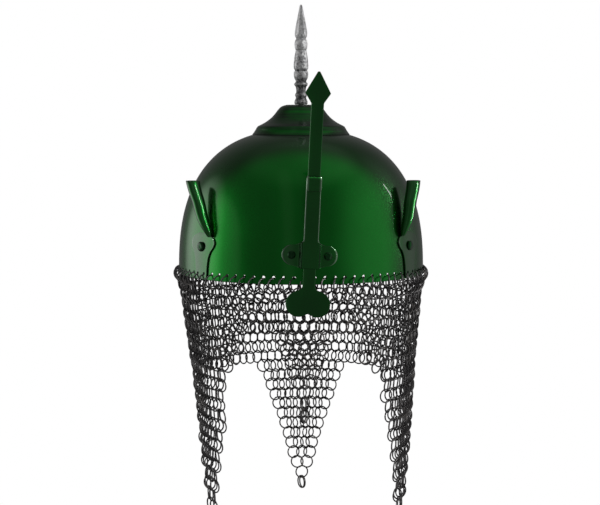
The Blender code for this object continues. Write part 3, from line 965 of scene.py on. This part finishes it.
def make_spike(material):
    seat = cap_top() + FIT_GAP
    rings = turned_rings([(STUD_RADIUS, STUD_FOOT), (STUD_RADIUS, seat)], SPIKE_STEPS)
    facet = 2.0 * math.pi / POINT_SIDES
    for share, size in rounded(SPIKE_PROFILE, 2):
        weight = clamped((share - POINT_START) / (POINT_FULL - POINT_START))
        crown = max(0.0, 1.0 - abs(share - POINT_START) / CROWN_REACH)
        ring = []
        for step in range(SPIKE_STEPS):
            turn = 2.0 * math.pi * step / SPIKE_STEPS
            off = (turn + facet / 2.0) % facet - facet / 2.0
            flat = math.cos(facet / 2.0) / math.cos(off)
            radius = size * SPIKE_RADIUS * (1.0 + weight * (flat * POINT_SPREAD - 1.0))
            radius *= 1.0 - CROWN_DEPTH * crown * (0.5 + 0.5 * math.cos(2.0 * POINT_SIDES * turn))
            ring.append(around(math.degrees(turn), radius, seat + share * SPIKE_LENGTH))
        rings.append(ring)
    dress(solid("spike_cast", rings), 30.0, material, "spike")


# Nose bar and bracket, on an axis that leans about the pivot


def bar_middle():
    return BOWL_RADIUS + BAR_STAND_OFF + BAR_THICKNESS / 2.0


def on_pivot(across, depth, rise):
    """Point of the leaning nose bar group in the helmet's frame."""
    lean = math.radians(LEAN)
    return Vector((across * math.cos(lean) + rise * math.sin(lean), depth - bar_middle(),
                   PIVOT_HEIGHT - across * math.sin(lean) + rise * math.cos(lean)))


def bar_outline():
    """Right half of the nose bar's outline, from the bottom notch to the tip."""
    neck = LOBE_RADIUS - LOBE_DROP
    points = [(0.0, NOTCH_DEPTH - LOBE_DROP - LOBE_RADIUS)]
    for step in range(LOBE_STEPS + 1):
        turn = math.radians(LOBE_START + LOBE_SWEEP * step / LOBE_STEPS)
        points.append((LOBE_SPREAD + LOBE_RADIUS * math.cos(turn),
                       LOBE_RADIUS * math.sin(turn) - LOBE_DROP))
    curve = [points.pop()]
    curve += [(BAR_HALF_WIDTH + NECK_FILLET * out, neck + NECK_FILLET * rise) for out, rise in NECK_CURVE]
    corner = (KITE_HALF_WIDTH, BAR_TOP + KITE_SHOULDER)
    foot = (BAR_HALF_WIDTH, BAR_TOP)
    tip = (KITE_HALF_WIDTH * KITE_BLUNT, BAR_TOP + KITE_LENGTH)
    waist = (BAR_HALF_WIDTH, BAR_TOP - KITE_WAIST)
    head = rounded([waist, foot, partway(foot, corner, 0.2)], 2)
    head += [partway(corner, foot, 0.12), corner]
    head += [partway(corner, tip, share) for share in (0.06, 0.5, 1.0)]
    return points + rounded(curve, 2) + head


def make_bar(material):
    right = bar_outline()
    outline = right + [(-across, rise) for across, rise in right[:0:-1]]
    half = BAR_THICKNESS / 2.0
    bar = solid("nose_bar", [[on_pivot(across, depth, rise) for across, rise in outline]
                             for depth in (-half, half)])
    bevel = bar.modifiers.new("edge", "BEVEL")
    bevel.width = BAR_BEVEL
    bevel.segments = 3
    bevel.limit_method = "ANGLE"
    bevel.angle_limit = math.radians(60.0)
    settle(bar)
    dress(bar, 40.0, material, "nasal_bar", body="nasal")


def bracket_half_width(rise):
    """Half width of the bracket's front outline at a rise above the pivot."""
    side = GUIDE_HALF_WIDTH + SHEET
    if rise <= -EAR_RADIUS:
        share = (rise + BRIDGE_DROP) / (BRIDGE_DROP - EAR_RADIUS)
        return side + (EAR_SPREAD - side) * share
    if rise <= EAR_RADIUS:
        return EAR_SPREAD + math.sqrt(max(EAR_RADIUS ** 2 - rise ** 2, 0.0))
    if rise < FILLET_TOP:
        sine = (FILLET_TOP - rise) / (FILLET_TOP - EAR_RADIUS)
        return EAR_SPREAD - (EAR_SPREAD - TONGUE_HALF_WIDTH) * math.sqrt(max(1.0 - sine ** 2, 0.0))
    return TONGUE_HALF_WIDTH


def bracket_sides(rise):
    """Tables of (across, depth) for the outer and the inner face of the bent sheet."""
    middle = bar_middle()
    ear = bowl_radius(PIVOT_HEIGHT + rise) + EAR_GAP
    inner_face = -(BAR_THICKNESS / 2.0 + FIT_GAP)
    outer_face = inner_face - SHEET
    side = GUIDE_HALF_WIDTH + SHEET

    def ear_out(across):
        return middle - math.sqrt((ear + SHEET) ** 2 - across ** 2)

    def ear_in(across):
        return middle - math.sqrt(ear ** 2 - across ** 2)

    tables = []
    for edge, face, ear_face, bridge_bend, ear_bend in (
            (side, outer_face, ear_out, OUTER_BRIDGE_BEND, OUTER_EAR_BEND),
            (GUIDE_HALF_WIDTH, inner_face, ear_in, INNER_BRIDGE_BEND, INNER_EAR_BEND)):
        table = [(0.0, face)]
        for past, drop in bridge_bend:
            table.append((edge + past * MM, face + drop * MM))
        for past, short in ear_bend:
            table.append((edge + past * MM, ear_face(edge + past * MM) - short * MM))
        for step in range(1, EAR_ROWS + 1):
            across = side + BEND_REACH + step * EAR_ROW_PITCH
            table.append((across, ear_face(across)))
        tables.append(table)
    return tables


def bracket_section(rise, width, thin=0.0):
    """Closed section of the bracket: (across, depth) pairs."""
    outer, inner = bracket_sides(min(max(rise, -BRIDGE_DROP), FILLET_TOP))
    flat = width - EDGE_ROUND
    start = GUIDE_HALF_WIDTH + SHEET + BEND_REACH
    spread = [start + (flat - start) * step / 8.0 for step in range(1, 9)] if flat > start else [flat] * 8
    sides = []
    for table, cut in ((outer, thin), (inner, -thin)):
        fixed = [row[0] for row in table if row[0] <= start + 1e-9]
        places = [min(across, flat) for across in fixed + spread]
        sides.append([(place, between(table, place) + cut) for place in places])
    right, back = sides
    outer_end = right[-1][1]
    inner_end = back[-1][1]
    for share, bulge in EDGE_BULGE:
        right.append((flat + EDGE_ROUND * bulge, outer_end + (inner_end - outer_end) * share))
    return right + back[::-1]


def make_bracket(material):
    inner_face = -(BAR_THICKNESS / 2.0 + FIT_GAP)
    middle = inner_face - SHEET / 2.0
    rises = [-BRIDGE_DROP] + [rise * MM for rise in BRIDGE_RISES]
    quarter = [math.radians(90.0 * step / QUARTER_STEPS) for step in range(QUARTER_STEPS + 1)]
    rises += [-EAR_RADIUS * math.cos(turn) for turn in quarter]
    rises += [EAR_RADIUS * math.sin(turn) for turn in quarter[1:]]
    rises += [FILLET_TOP - (FILLET_TOP - EAR_RADIUS) * math.cos(turn) for turn in quarter[1:]]
    rises += [rise * MM for rise in TONGUE_RISES]
    foot = bracket_section(-BRIDGE_DROP, bracket_half_width(-BRIDGE_DROP) - FOOT_ROUND, FOOT_THINNING)
    halves = [[(across, depth, -BRIDGE_DROP - FOOT_ROUND) for across, depth in foot]]
    for rise in rises:
        section = bracket_section(rise, bracket_half_width(rise))
        halves.append([(across, depth, rise) for across, depth in section])

    # the tongue's top curls over towards the front and comes down again
    flat = bracket_section(TONGUE_RISE, TONGUE_HALF_WIDTH)
    centre = middle - HOOK_RADIUS
    for step in range(HOOK_STEPS + 1):
        turn = math.pi * step / HOOK_STEPS
        halves.append([(across, centre + (HOOK_RADIUS + depth - middle) * math.cos(turn),
                        TONGUE_RISE + (HOOK_RADIUS + depth - middle) * math.sin(turn))
                       for across, depth in flat])
    for drop, narrow, thin in HOOK_END:
        end = bracket_section(TONGUE_RISE, TONGUE_HALF_WIDTH - narrow * MM, thin * MM)
        halves.append([(across, centre - (HOOK_RADIUS + depth - middle), TONGUE_RISE - drop * MM)
                       for across, depth in end])
    rings = []
    for half in halves:
        # the right half out and back, and then the left half
        left = [(-across, depth, rise) for across, depth, rise in half]
        rings.append([on_pivot(*point) for point in half + left[::-1]])
    shape = bmesh.new()
    edge_highlight = shape.verts.layers.float.new(EDGE_HIGHLIGHT)
    fold_shade = shape.verts.layers.float.new(FOLD_SHADE)
    # Paint a highlight on the outer edges of the sheet and shade in the folds beside the bridge.
    for half, row in zip(halves, skin(shape, rings)):
        edge = max(point[0] for point in half) - EDGE_ROUND - FIT_GAP
        for place, (across, _, _) in enumerate(half):
            for vertex in (row[place], row[-1 - place]):
                vertex[edge_highlight] = float(across > edge)
                # The folds beside the bridge get painted shade.
                vertex[fold_shade] = float(abs(across - GUIDE_HALF_WIDTH - SHEET) < FOLD_SHADE_REACH)
    dress(new_object("nose_bar_bracket", shape, merge=MERGE_GAP), 50.0, material, "nasal_bracket")


# Plume holders


def plate_rings(middle):
    """Level sections of the leaf plate, with rounded edges, bent to the bowl."""
    rings = []
    for level in range(PLATE_LEVELS + 1):
        share = level / PLATE_LEVELS
        height = PLATE_FOOT + share * PLATE_HEIGHT
        near = bowl_radius(height) + FIT_GAP
        half = math.degrees(flowing(PLATE_PROFILE, share) * PLATE_HALF_WIDTH / BOWL_RADIUS)
        soft = math.degrees(PLATE_EDGE / BOWL_RADIUS)
        stops = [(half - soft) * (-1.0 + 2.0 * step / PLATE_COLUMNS) for step in range(PLATE_COLUMNS + 1)]
        ends = [(half - soft * 0.3, 0.22), (half, 0.5), (half - soft * 0.3, 0.78)]
        squeeze = 0.25 * PLATE_WALL if level in (0, PLATE_LEVELS) else 0.0
        thick = PLATE_WALL - 2.0 * squeeze
        points = [(stop, 1.0) for stop in stops]
        points += [(stop, 1.0 - share_in) for stop, share_in in ends]
        points += [(stop, 0.0) for stop in stops[::-1]]
        points += [(-stop, share_in) for stop, share_in in ends]
        rings.append([around(middle + stop, near + squeeze + thick * place, height)
                      for stop, place in points])
    return rings


def tube_ring(word, side, share, inset):
    """Level section of the plume tube."""
    height = TUBE_FOOT_HEIGHT + share * TUBE_HEIGHT
    radius = flowing(TUBE_SECTIONS, share, 1) * TUBE_RADIUS
    stand = bowl_radius(height) + EAR_GAP + radius + flowing(TUBE_SECTIONS, share, 3) * TUBE_REACH
    offset = flowing(TUBE_SECTIONS, share, 2) * (TUBE_SWEEP + TUBE_LEAN[word]) - TUBE_FRONT_OFFSET
    angle = side * (PLUME_RING_STEPS * RING_STEP + math.degrees(offset / BOWL_RADIUS))
    centre = around(angle, stand, height)
    pitch = 360.0 / TUBE_STEPS
    return [centre + around(pitch * step, radius - inset, 0.0) for step in range(TUBE_STEPS)]


def radial_pin(angle, height, radius):
    """Bar through the wall of the bowl, to cut a hole with."""
    profile = ((radius, BOWL_RADIUS - PIN_DEPTH), (radius, BOWL_RADIUS + PIN_HEIGHT))
    return solid("pin", side_rings(angle, height, profile, PIN_SIDES))


def make_plume_holder(word, side, material):
    middle = side * PLUME_RING_STEPS * RING_STEP
    holder = solid("plume_socket_" + word, plate_rings(middle))
    shares = [level / TUBE_LEVELS for level in range(TUBE_LEVELS)]
    rings = [tube_ring(word, side, share, 0.0) for share in shares[:-1]]
    rings += [tube_ring(word, side, 1.0 - below * MM / TUBE_HEIGHT, inset * TUBE_WALL)
              for below, inset in TUBE_LIP]
    rings += [tube_ring(word, side, share, TUBE_WALL) for share in shares[::-1] if share >= TUBE_BORE_START]
    tube = solid("tube_" + word, rings)
    pins = [radial_pin(middle + step * RING_STEP, RIM_HOLE_HEIGHT, RIM_HOLE_RADIUS)
            for step in (-0.5, 0.5)]
    pins.append(radial_pin(middle, PLUME_RIVET_HEIGHT, RIVET_SHANK_RADIUS + BORE_GAP))
    combine(holder, [tube], "UNION")
    combine(holder, pins, "DIFFERENCE")
    dress(holder, 38.0, material, "plume_holder_" + word)


# Rivets


def bracket_rivet_place(side):
    """Angle and height of a bracket rivet."""
    lean = math.radians(LEAN)
    across = side * EAR_SPREAD * math.cos(lean)
    height = PIVOT_HEIGHT - side * EAR_SPREAD * math.sin(lean)
    return math.degrees(math.asin(across / bowl_radius(height))), height


def make_rivet(name, node, angle, height, head_radius, seat, material, draw):
    """Rivet with a hammered dome, a shank and a tail inside the bowl."""
    radius = bowl_radius(height)
    under = radius + seat + FIT_GAP
    tail = radius - BOWL_WALL - RIVET_TAIL_GAP
    rise = head_radius * 0.6
    profile = [
        (RIVET_TAIL_RADIUS * 0.1, tail - RIVET_TAIL_HEIGHT),
        (RIVET_TAIL_RADIUS * 0.75, tail - RIVET_TAIL_HEIGHT),
        (RIVET_TAIL_RADIUS * 0.97, tail - RIVET_TAIL_HEIGHT * 0.6),
        (RIVET_TAIL_RADIUS, tail),
        (RIVET_SHANK_RADIUS, tail),
        (RIVET_SHANK_RADIUS, under),
        (head_radius * 0.96, under),
        (head_radius, under + rise * 0.12),
    ]
    for step in range(1, 9):
        turn = math.radians(90.0 * step / 8.5)
        profile.append((head_radius * math.cos(turn), under + rise * (0.12 + 0.88 * math.sin(turn))))
    dents = [(draw.uniform(0.0, 6.28), draw.uniform(0.2, 0.9)) for _ in range(RIVET_DENTS)]

    def sunk(across, along, reach):
        """Depth of the dents at a place on the dome."""
        depth = 0.0
        if reach > under + rise * 0.2:
            for way, far in dents:
                gap = math.hypot(across - far * head_radius * math.cos(way),
                                 along - far * head_radius * math.sin(way))
                depth += RIVET_DENT_DEPTH * math.exp(-(gap / (0.3 * head_radius)) ** 2)
        return depth

    rivet = solid(name, side_rings(angle, height, profile, RIVET_STEPS, sunk))
    dress(rivet, 50.0, material, node)


# Mail


def short_way(steps):
    """Ring steps taken the short way round the helmet."""
    return (steps + RING_COUNT / 2.0) % RING_COUNT - RING_COUNT / 2.0


def mail_rows(step):
    """Count of ring rows hanging at a ring step from the front."""
    start = MAIL_EDGE[0][0]
    place = step - math.floor((step - start) / RING_COUNT) * RING_COUNT
    return between(MAIL_EDGE + ((start + RING_COUNT, MAIL_EDGE[0][1]),), place)


def row_height(row):
    """Height of the ring centres of a row, counted from 1 at the rim."""
    if row == 1:
        return FIRST_ROW_HEIGHT
    even = min(row, EVEN_ROWS) - 2
    return FIRST_ROW_HEIGHT - SECOND_ROW_DROP - ROW_PITCH * even - TIP_PITCH * max(row - EVEN_ROWS, 0)


def hang_radius(height):
    """Radius of the ring centres at a height."""
    depth = -height
    spread = HANG_SPREAD * min(depth / SWAY_DEPTH, 1.0)
    return BOWL_RADIUS * between(MAIL_TAPER, depth / LONGEST_DAG) - HANG_INSET + spread


def drawn_in(step, row):
    """Ring step after the points of the mail have drawn together."""
    for middle, tip, top, _ in MAIL_POINTS:
        away = short_way(step - middle)
        if abs(away) < POINT_REACH and row <= tip:
            share = between(TIP_SPACING, float(tip - row))
            if row < top + POINT_EASE:
                share = 1.0 + (share - 1.0) * max(row - top, 0) / POINT_EASE
            hold = clamped((POINT_REACH - abs(away)) / POINT_FADE)
            return step - away * (1.0 - share) * hold
    return step


def sway(angle, height):
    """Sideways hang of the mail at a place, least at the front point."""
    share = clamped(-height / SWAY_DEPTH)
    front = 0.5 + 0.5 * math.cos(math.radians(min(abs(angle) * 3.0, 180.0)))
    return SWAY * (0.5 - 0.5 * math.cos(math.pi * share)) * (1.0 - front)


def link_shape():
    """Points and faces of one butted ring, in the plane of its first and third axes."""
    points = []
    for segment in range(LINK_SEGMENTS + 1):
        turn = math.radians(LINK_CUT / 2.0 + (360.0 - LINK_CUT) * segment / LINK_SEGMENTS)
        for side in range(WIRE_SIDES):
            roll = 2.0 * math.pi * side / WIRE_SIDES
            reach = LINK_RADIUS + WIRE_RADIUS * math.cos(roll)
            points.append((reach * math.cos(turn), WIRE_RADIUS * math.sin(roll), reach * math.sin(turn)))
    last = LINK_SEGMENTS * WIRE_SIDES
    faces = []
    for start in range(0, last, WIRE_SIDES):
        for side in range(WIRE_SIDES):
            here = start + side
            there = start + (side + 1) % WIRE_SIDES
            faces.append((here, there, there + WIRE_SIDES, here + WIRE_SIDES))
    faces.append(tuple(range(WIRE_SIDES))[::-1])
    faces.append(tuple(range(last, last + WIRE_SIDES)))
    return np.array(points), faces


def ring_frame(angle, radius, height, turn, slope, roll):
    """Centre of a ring and its directions: across, square to its plane, and along."""
    side, up, out = facing_out(angle)
    centre = out * radius + up * height + Vector((sway(angle, height), 0.0, 0.0))
    rise = up * math.cos(slope) + out * math.sin(slope)
    face = out * math.cos(slope) - up * math.sin(slope)
    flat = side * math.cos(turn) + face * math.sin(turn)
    normal = face * math.cos(turn) - side * math.sin(turn)
    across = flat * math.cos(roll) + rise * math.sin(roll)
    along = rise * math.cos(roll) - flat * math.sin(roll)
    return centre, across, normal, along


def woven_rings(draw):
    """Frames of the woven rings, with the ring step that each belongs to."""
    found = []
    for row in range(1, ROWS_LONGEST + 1):
        shift = 0.5 if row % 2 else 0.0
        height = row_height(row)
        for index in range(-RING_COUNT // 2, RING_COUNT // 2):
            step = index + shift
            rows = mail_rows(step)
            if rows < row - ROW_SLACK:
                continue
            slope = 0.0
            angle = drawn_in(step, row) * RING_STEP
            if row == 1:
                radius = BOWL_RADIUS - BOWL_WALL / 2.0
                radius -= between(BAR_ROOM, abs(angle - BAR_FOOT_ANGLE)) * MM
                turn = RIM_LINK_TURN
            else:
                radius = hang_radius(height) + (SECOND_ROW_OUT if row == 2 else 0.0)
                beside = min(mail_rows(step - 1.0), mail_rows(step + 1.0))
                tight = (BOWL_RADIUS - radius) / (TIGHT_SHARE * BOWL_RADIUS)
                turn = LINK_TURN + TIGHT_TURN * clamped(tight)
                if beside < row - ROW_SLACK or row > rows - 1.0:
                    turn *= EDGE_TURN_SHARE
                turn = turn if row % 2 == 0 else -turn
                drop = hang_radius(height + SLOPE_SPAN) - hang_radius(height - SLOPE_SPAN)
                slope = math.atan(drop / (2.0 * SLOPE_SPAN))
            turn = math.radians(turn + draw.uniform(-TURN_PLAY, TURN_PLAY))
            slope += math.radians(draw.uniform(-SLOPE_PLAY, SLOPE_PLAY))
            roll = math.radians(draw.uniform(-ROLL_PLAY, ROLL_PLAY))
            angle += math.degrees(draw.uniform(-PLACE_PLAY, PLACE_PLAY) / BOWL_RADIUS)
            height_here = height + draw.uniform(-PLACE_PLAY, PLACE_PLAY)
            found.append((step, *ring_frame(angle, radius, height_here, turn, slope, roll)))
    return found


def tip_links(draw):
    """Frames of the doubled rings that hang from the last ring of each point."""
    found = []
    for middle, tip, _, turns in MAIL_POINTS:
        height = row_height(tip)
        radius = hang_radius(height)
        for turn in turns:
            height -= TIP_LINK_PITCH
            for way in (-0.5, 0.5):
                lean = math.radians(turn + way * TWIN_SPLAY)
                roll = math.radians(draw.uniform(-TWIN_ROLL_PLAY, TWIN_ROLL_PLAY))
                centre, across, normal, along = ring_frame(middle * RING_STEP, radius, height, lean,
                                                           0.0, roll)
                found.append((middle, centre + normal * way * TWIN_GAP, across, normal, along))
    return found


def make_mail(material):
    draw = random.Random(SEED)
    points, faces = link_shape()
    thirds = (("left", -RING_COUNT / 6.0, -RING_COUNT), ("front", RING_COUNT / 6.0, -RING_COUNT / 6.0),
              ("right", RING_COUNT, RING_COUNT / 6.0))
    rings = woven_rings(draw) + tip_links(draw)
    for word, high, low in thirds:
        spots = []
        polygons = []
        for step, centre, across, normal, along in rings:
            if not low <= short_way(step) < high:
                continue
            turn = draw.uniform(0.0, 2.0 * math.pi)
            first = np.array(across) * math.cos(turn) + np.array(along) * math.sin(turn)
            third = np.array(along) * math.cos(turn) - np.array(across) * math.sin(turn)
            start = len(spots) * len(points)
            spots.append(points @ np.array((first, np.array(normal), third)) + np.array(centre))
            polygons += [tuple(start + corner for corner in face) for face in faces]
        mesh = bpy.data.meshes.new("mail_" + word)
        mesh.from_pydata(np.concatenate(spots), [], polygons)
        mesh.validate()
        dress(in_scene("mail_" + word, mesh), 65.0, material, "mail_curtain")


# Stage


def make_camera():
    turn = math.radians(CAMERA_AZIMUTH)
    right = Vector((math.cos(turn), math.sin(turn), 0.0))
    place = Vector((math.sin(turn), -math.cos(turn), 0.0)) * CAMERA_DISTANCE
    place.z = CAMERA_HEIGHT
    drop = CAMERA_DISTANCE * math.tan(math.radians(CAMERA_TILT))
    target = Vector((0.0, 0.0, CAMERA_HEIGHT - drop)) - right * AXIS_OFFSET
    data = bpy.data.cameras.new("camera")
    data.sensor_fit = "HORIZONTAL"
    data.sensor_width = CAMERA_SENSOR
    data.lens = CAMERA_LENS
    bpy.context.scene.camera = aimed("camera", data, place, target)


def soft_box(name, azimuth, elevation, distance, width, height, radiance, pieces):
    """Rectangular light, from a row of LIGHTS."""
    data = bpy.data.lights.new(name, "AREA")
    data.shape = "RECTANGLE"
    data.size = width
    data.size_y = height
    data.energy = radiance * math.pi * width * height
    rise = math.radians(elevation)
    place = around(azimuth, distance * math.cos(rise), distance * math.sin(rise))
    lamp = aimed(name, data, place, Vector(LIT_PLACE))
    lamp.visible_camera = False
    lamp.visible_glossy = bool(pieces)
    if pieces:
        lit = bpy.data.collections.new("lit_by_" + name)
        for piece in pieces:
            lit.objects.link(bpy.data.objects[piece])
        lamp.light_linking.receiver_collection = lit


def make_room():
    """White to the camera, and to the lacquer a dim room with cards, a panel and a window."""
    world = bpy.data.worlds.new("studio")
    bpy.context.scene.world = world
    world.use_nodes = True
    tree = world.node_tree
    tree.nodes.clear()
    way = coordinates(tree, "Generated")
    side, back, height = add_node(tree, "SeparateXYZ", {"Vector": way}).outputs
    left_card = ranged(tree, side, -0.85, -0.91, 0.0, 0.27)
    right_card = maths(tree, "MULTIPLY", ranged(tree, side, 0.38, 0.92, 0.0, 0.31),
                       ranged(tree, back, 0.35, 0.75, 1.0, 0.1))
    ceiling = maths(tree, "MULTIPLY", ranged(tree, height, 0.74, 0.90, 0.0, 0.15),
                    ranged(tree, side, -0.2, 0.5, 0.55, 1.5))
    near_window = add_node(tree, "VectorMath", {0: way, 1: WINDOW_DIRECTION}, "DOT_PRODUCT")
    window = ranged(tree, near_window.outputs["Value"], 0.84, 1.0, 0.0, 1.75)
    panel = maths(tree, "MULTIPLY", ranged(tree, side, -0.40, -0.28, 0.0, 0.11),
                  ranged(tree, side, -0.24, -0.12, 1.0, 0.0))
    panel = maths(tree, "MULTIPLY", panel, ranged(tree, back, -0.5, 0.0, 1.0, 0.0))
    strength = DIM_ROOM
    for part in (left_card, right_card, ceiling, window, panel):
        strength = maths(tree, "ADD", strength, part)
    studio = add_node(tree, "Background", {"Strength": strength})
    white = add_node(tree, "Background", {"Strength": 1.0, "Color": (1.0, 1.0, 1.0, 1.0)})
    seen = add_node(tree, "MixShader", {
        "Fac": add_node(tree, "LightPath", {}).outputs["Is Camera Ray"],
        1: studio.outputs["Background"],
        2: white.outputs["Background"],
    })
    add_node(tree, "OutputWorld", {"Surface": seen.outputs["Shader"]})


def make_floor():
    """Pale floor well below the mail, not seen by the camera."""
    shape = bmesh.new()
    corners = ((-1.0, -1.0), (1.0, -1.0), (1.0, 1.0), (-1.0, 1.0))
    shape.faces.new([shape.verts.new((x * FLOOR_REACH, y * FLOOR_REACH, FLOOR_LEVEL)) for x, y in corners])
    floor = new_object("floor", shape)
    material, _, _ = principled("pale_floor", (0.8, 0.8, 0.8), 0.0, 1.0)
    floor.data.materials.append(material)
    floor.visible_camera = False
    floor.visible_glossy = False


# The scene

make_camera()
make_room()
make_floor()
scene = bpy.context.scene
scene.view_settings.view_transform = "Standard"
scene.view_settings.look = "None"

green = lacquer("candy_green", *BOWL_GREENS, 0.10)
cap_green = lacquer("candy_green_cap", *CAP_GREENS, 0.10, streaks=True)
flat_green = lacquer("candy_green_flat_parts", *FLAT_GREENS, 0.06, coat=1.5, edges="corners")
bracket_green = lacquer("candy_green_bracket", *FLAT_GREENS, 0.06, coat=1.5, edges="painted")
dark_green = lacquer("candy_green_rivets", *RIVET_GREENS, 0.30)
steel = plain_steel()

make_bowl(green)
make_cap(cap_green)
make_spike(cast_metal())
make_bar(flat_green)
make_bracket(bracket_green)
rivet_draw = random.Random(SEED + 1)
for word, side in (("left", -1.0), ("right", 1.0)):
    make_plume_holder(word, side, flat_green)
    make_rivet("plume_rivet_dome_" + word, "plume_rivet_" + word, side * PLUME_RING_STEPS * RING_STEP,
               PLUME_RIVET_HEIGHT, PLUME_RIVET_RADIUS, FIT_GAP + PLATE_WALL, dark_green, rivet_draw)
    angle, height = bracket_rivet_place(side)
    make_rivet("bracket_rivet_dome_" + word, "bracket_rivet_" + word, angle, height,
               BRACKET_RIVET_RADIUS, EAR_GAP + SHEET, dark_green, rivet_draw)
make_mail(blackened_wire())
for row in LIGHTS:
    soft_box(*row)
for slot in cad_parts["spike_nut"].material_slots:
    slot.material = steel
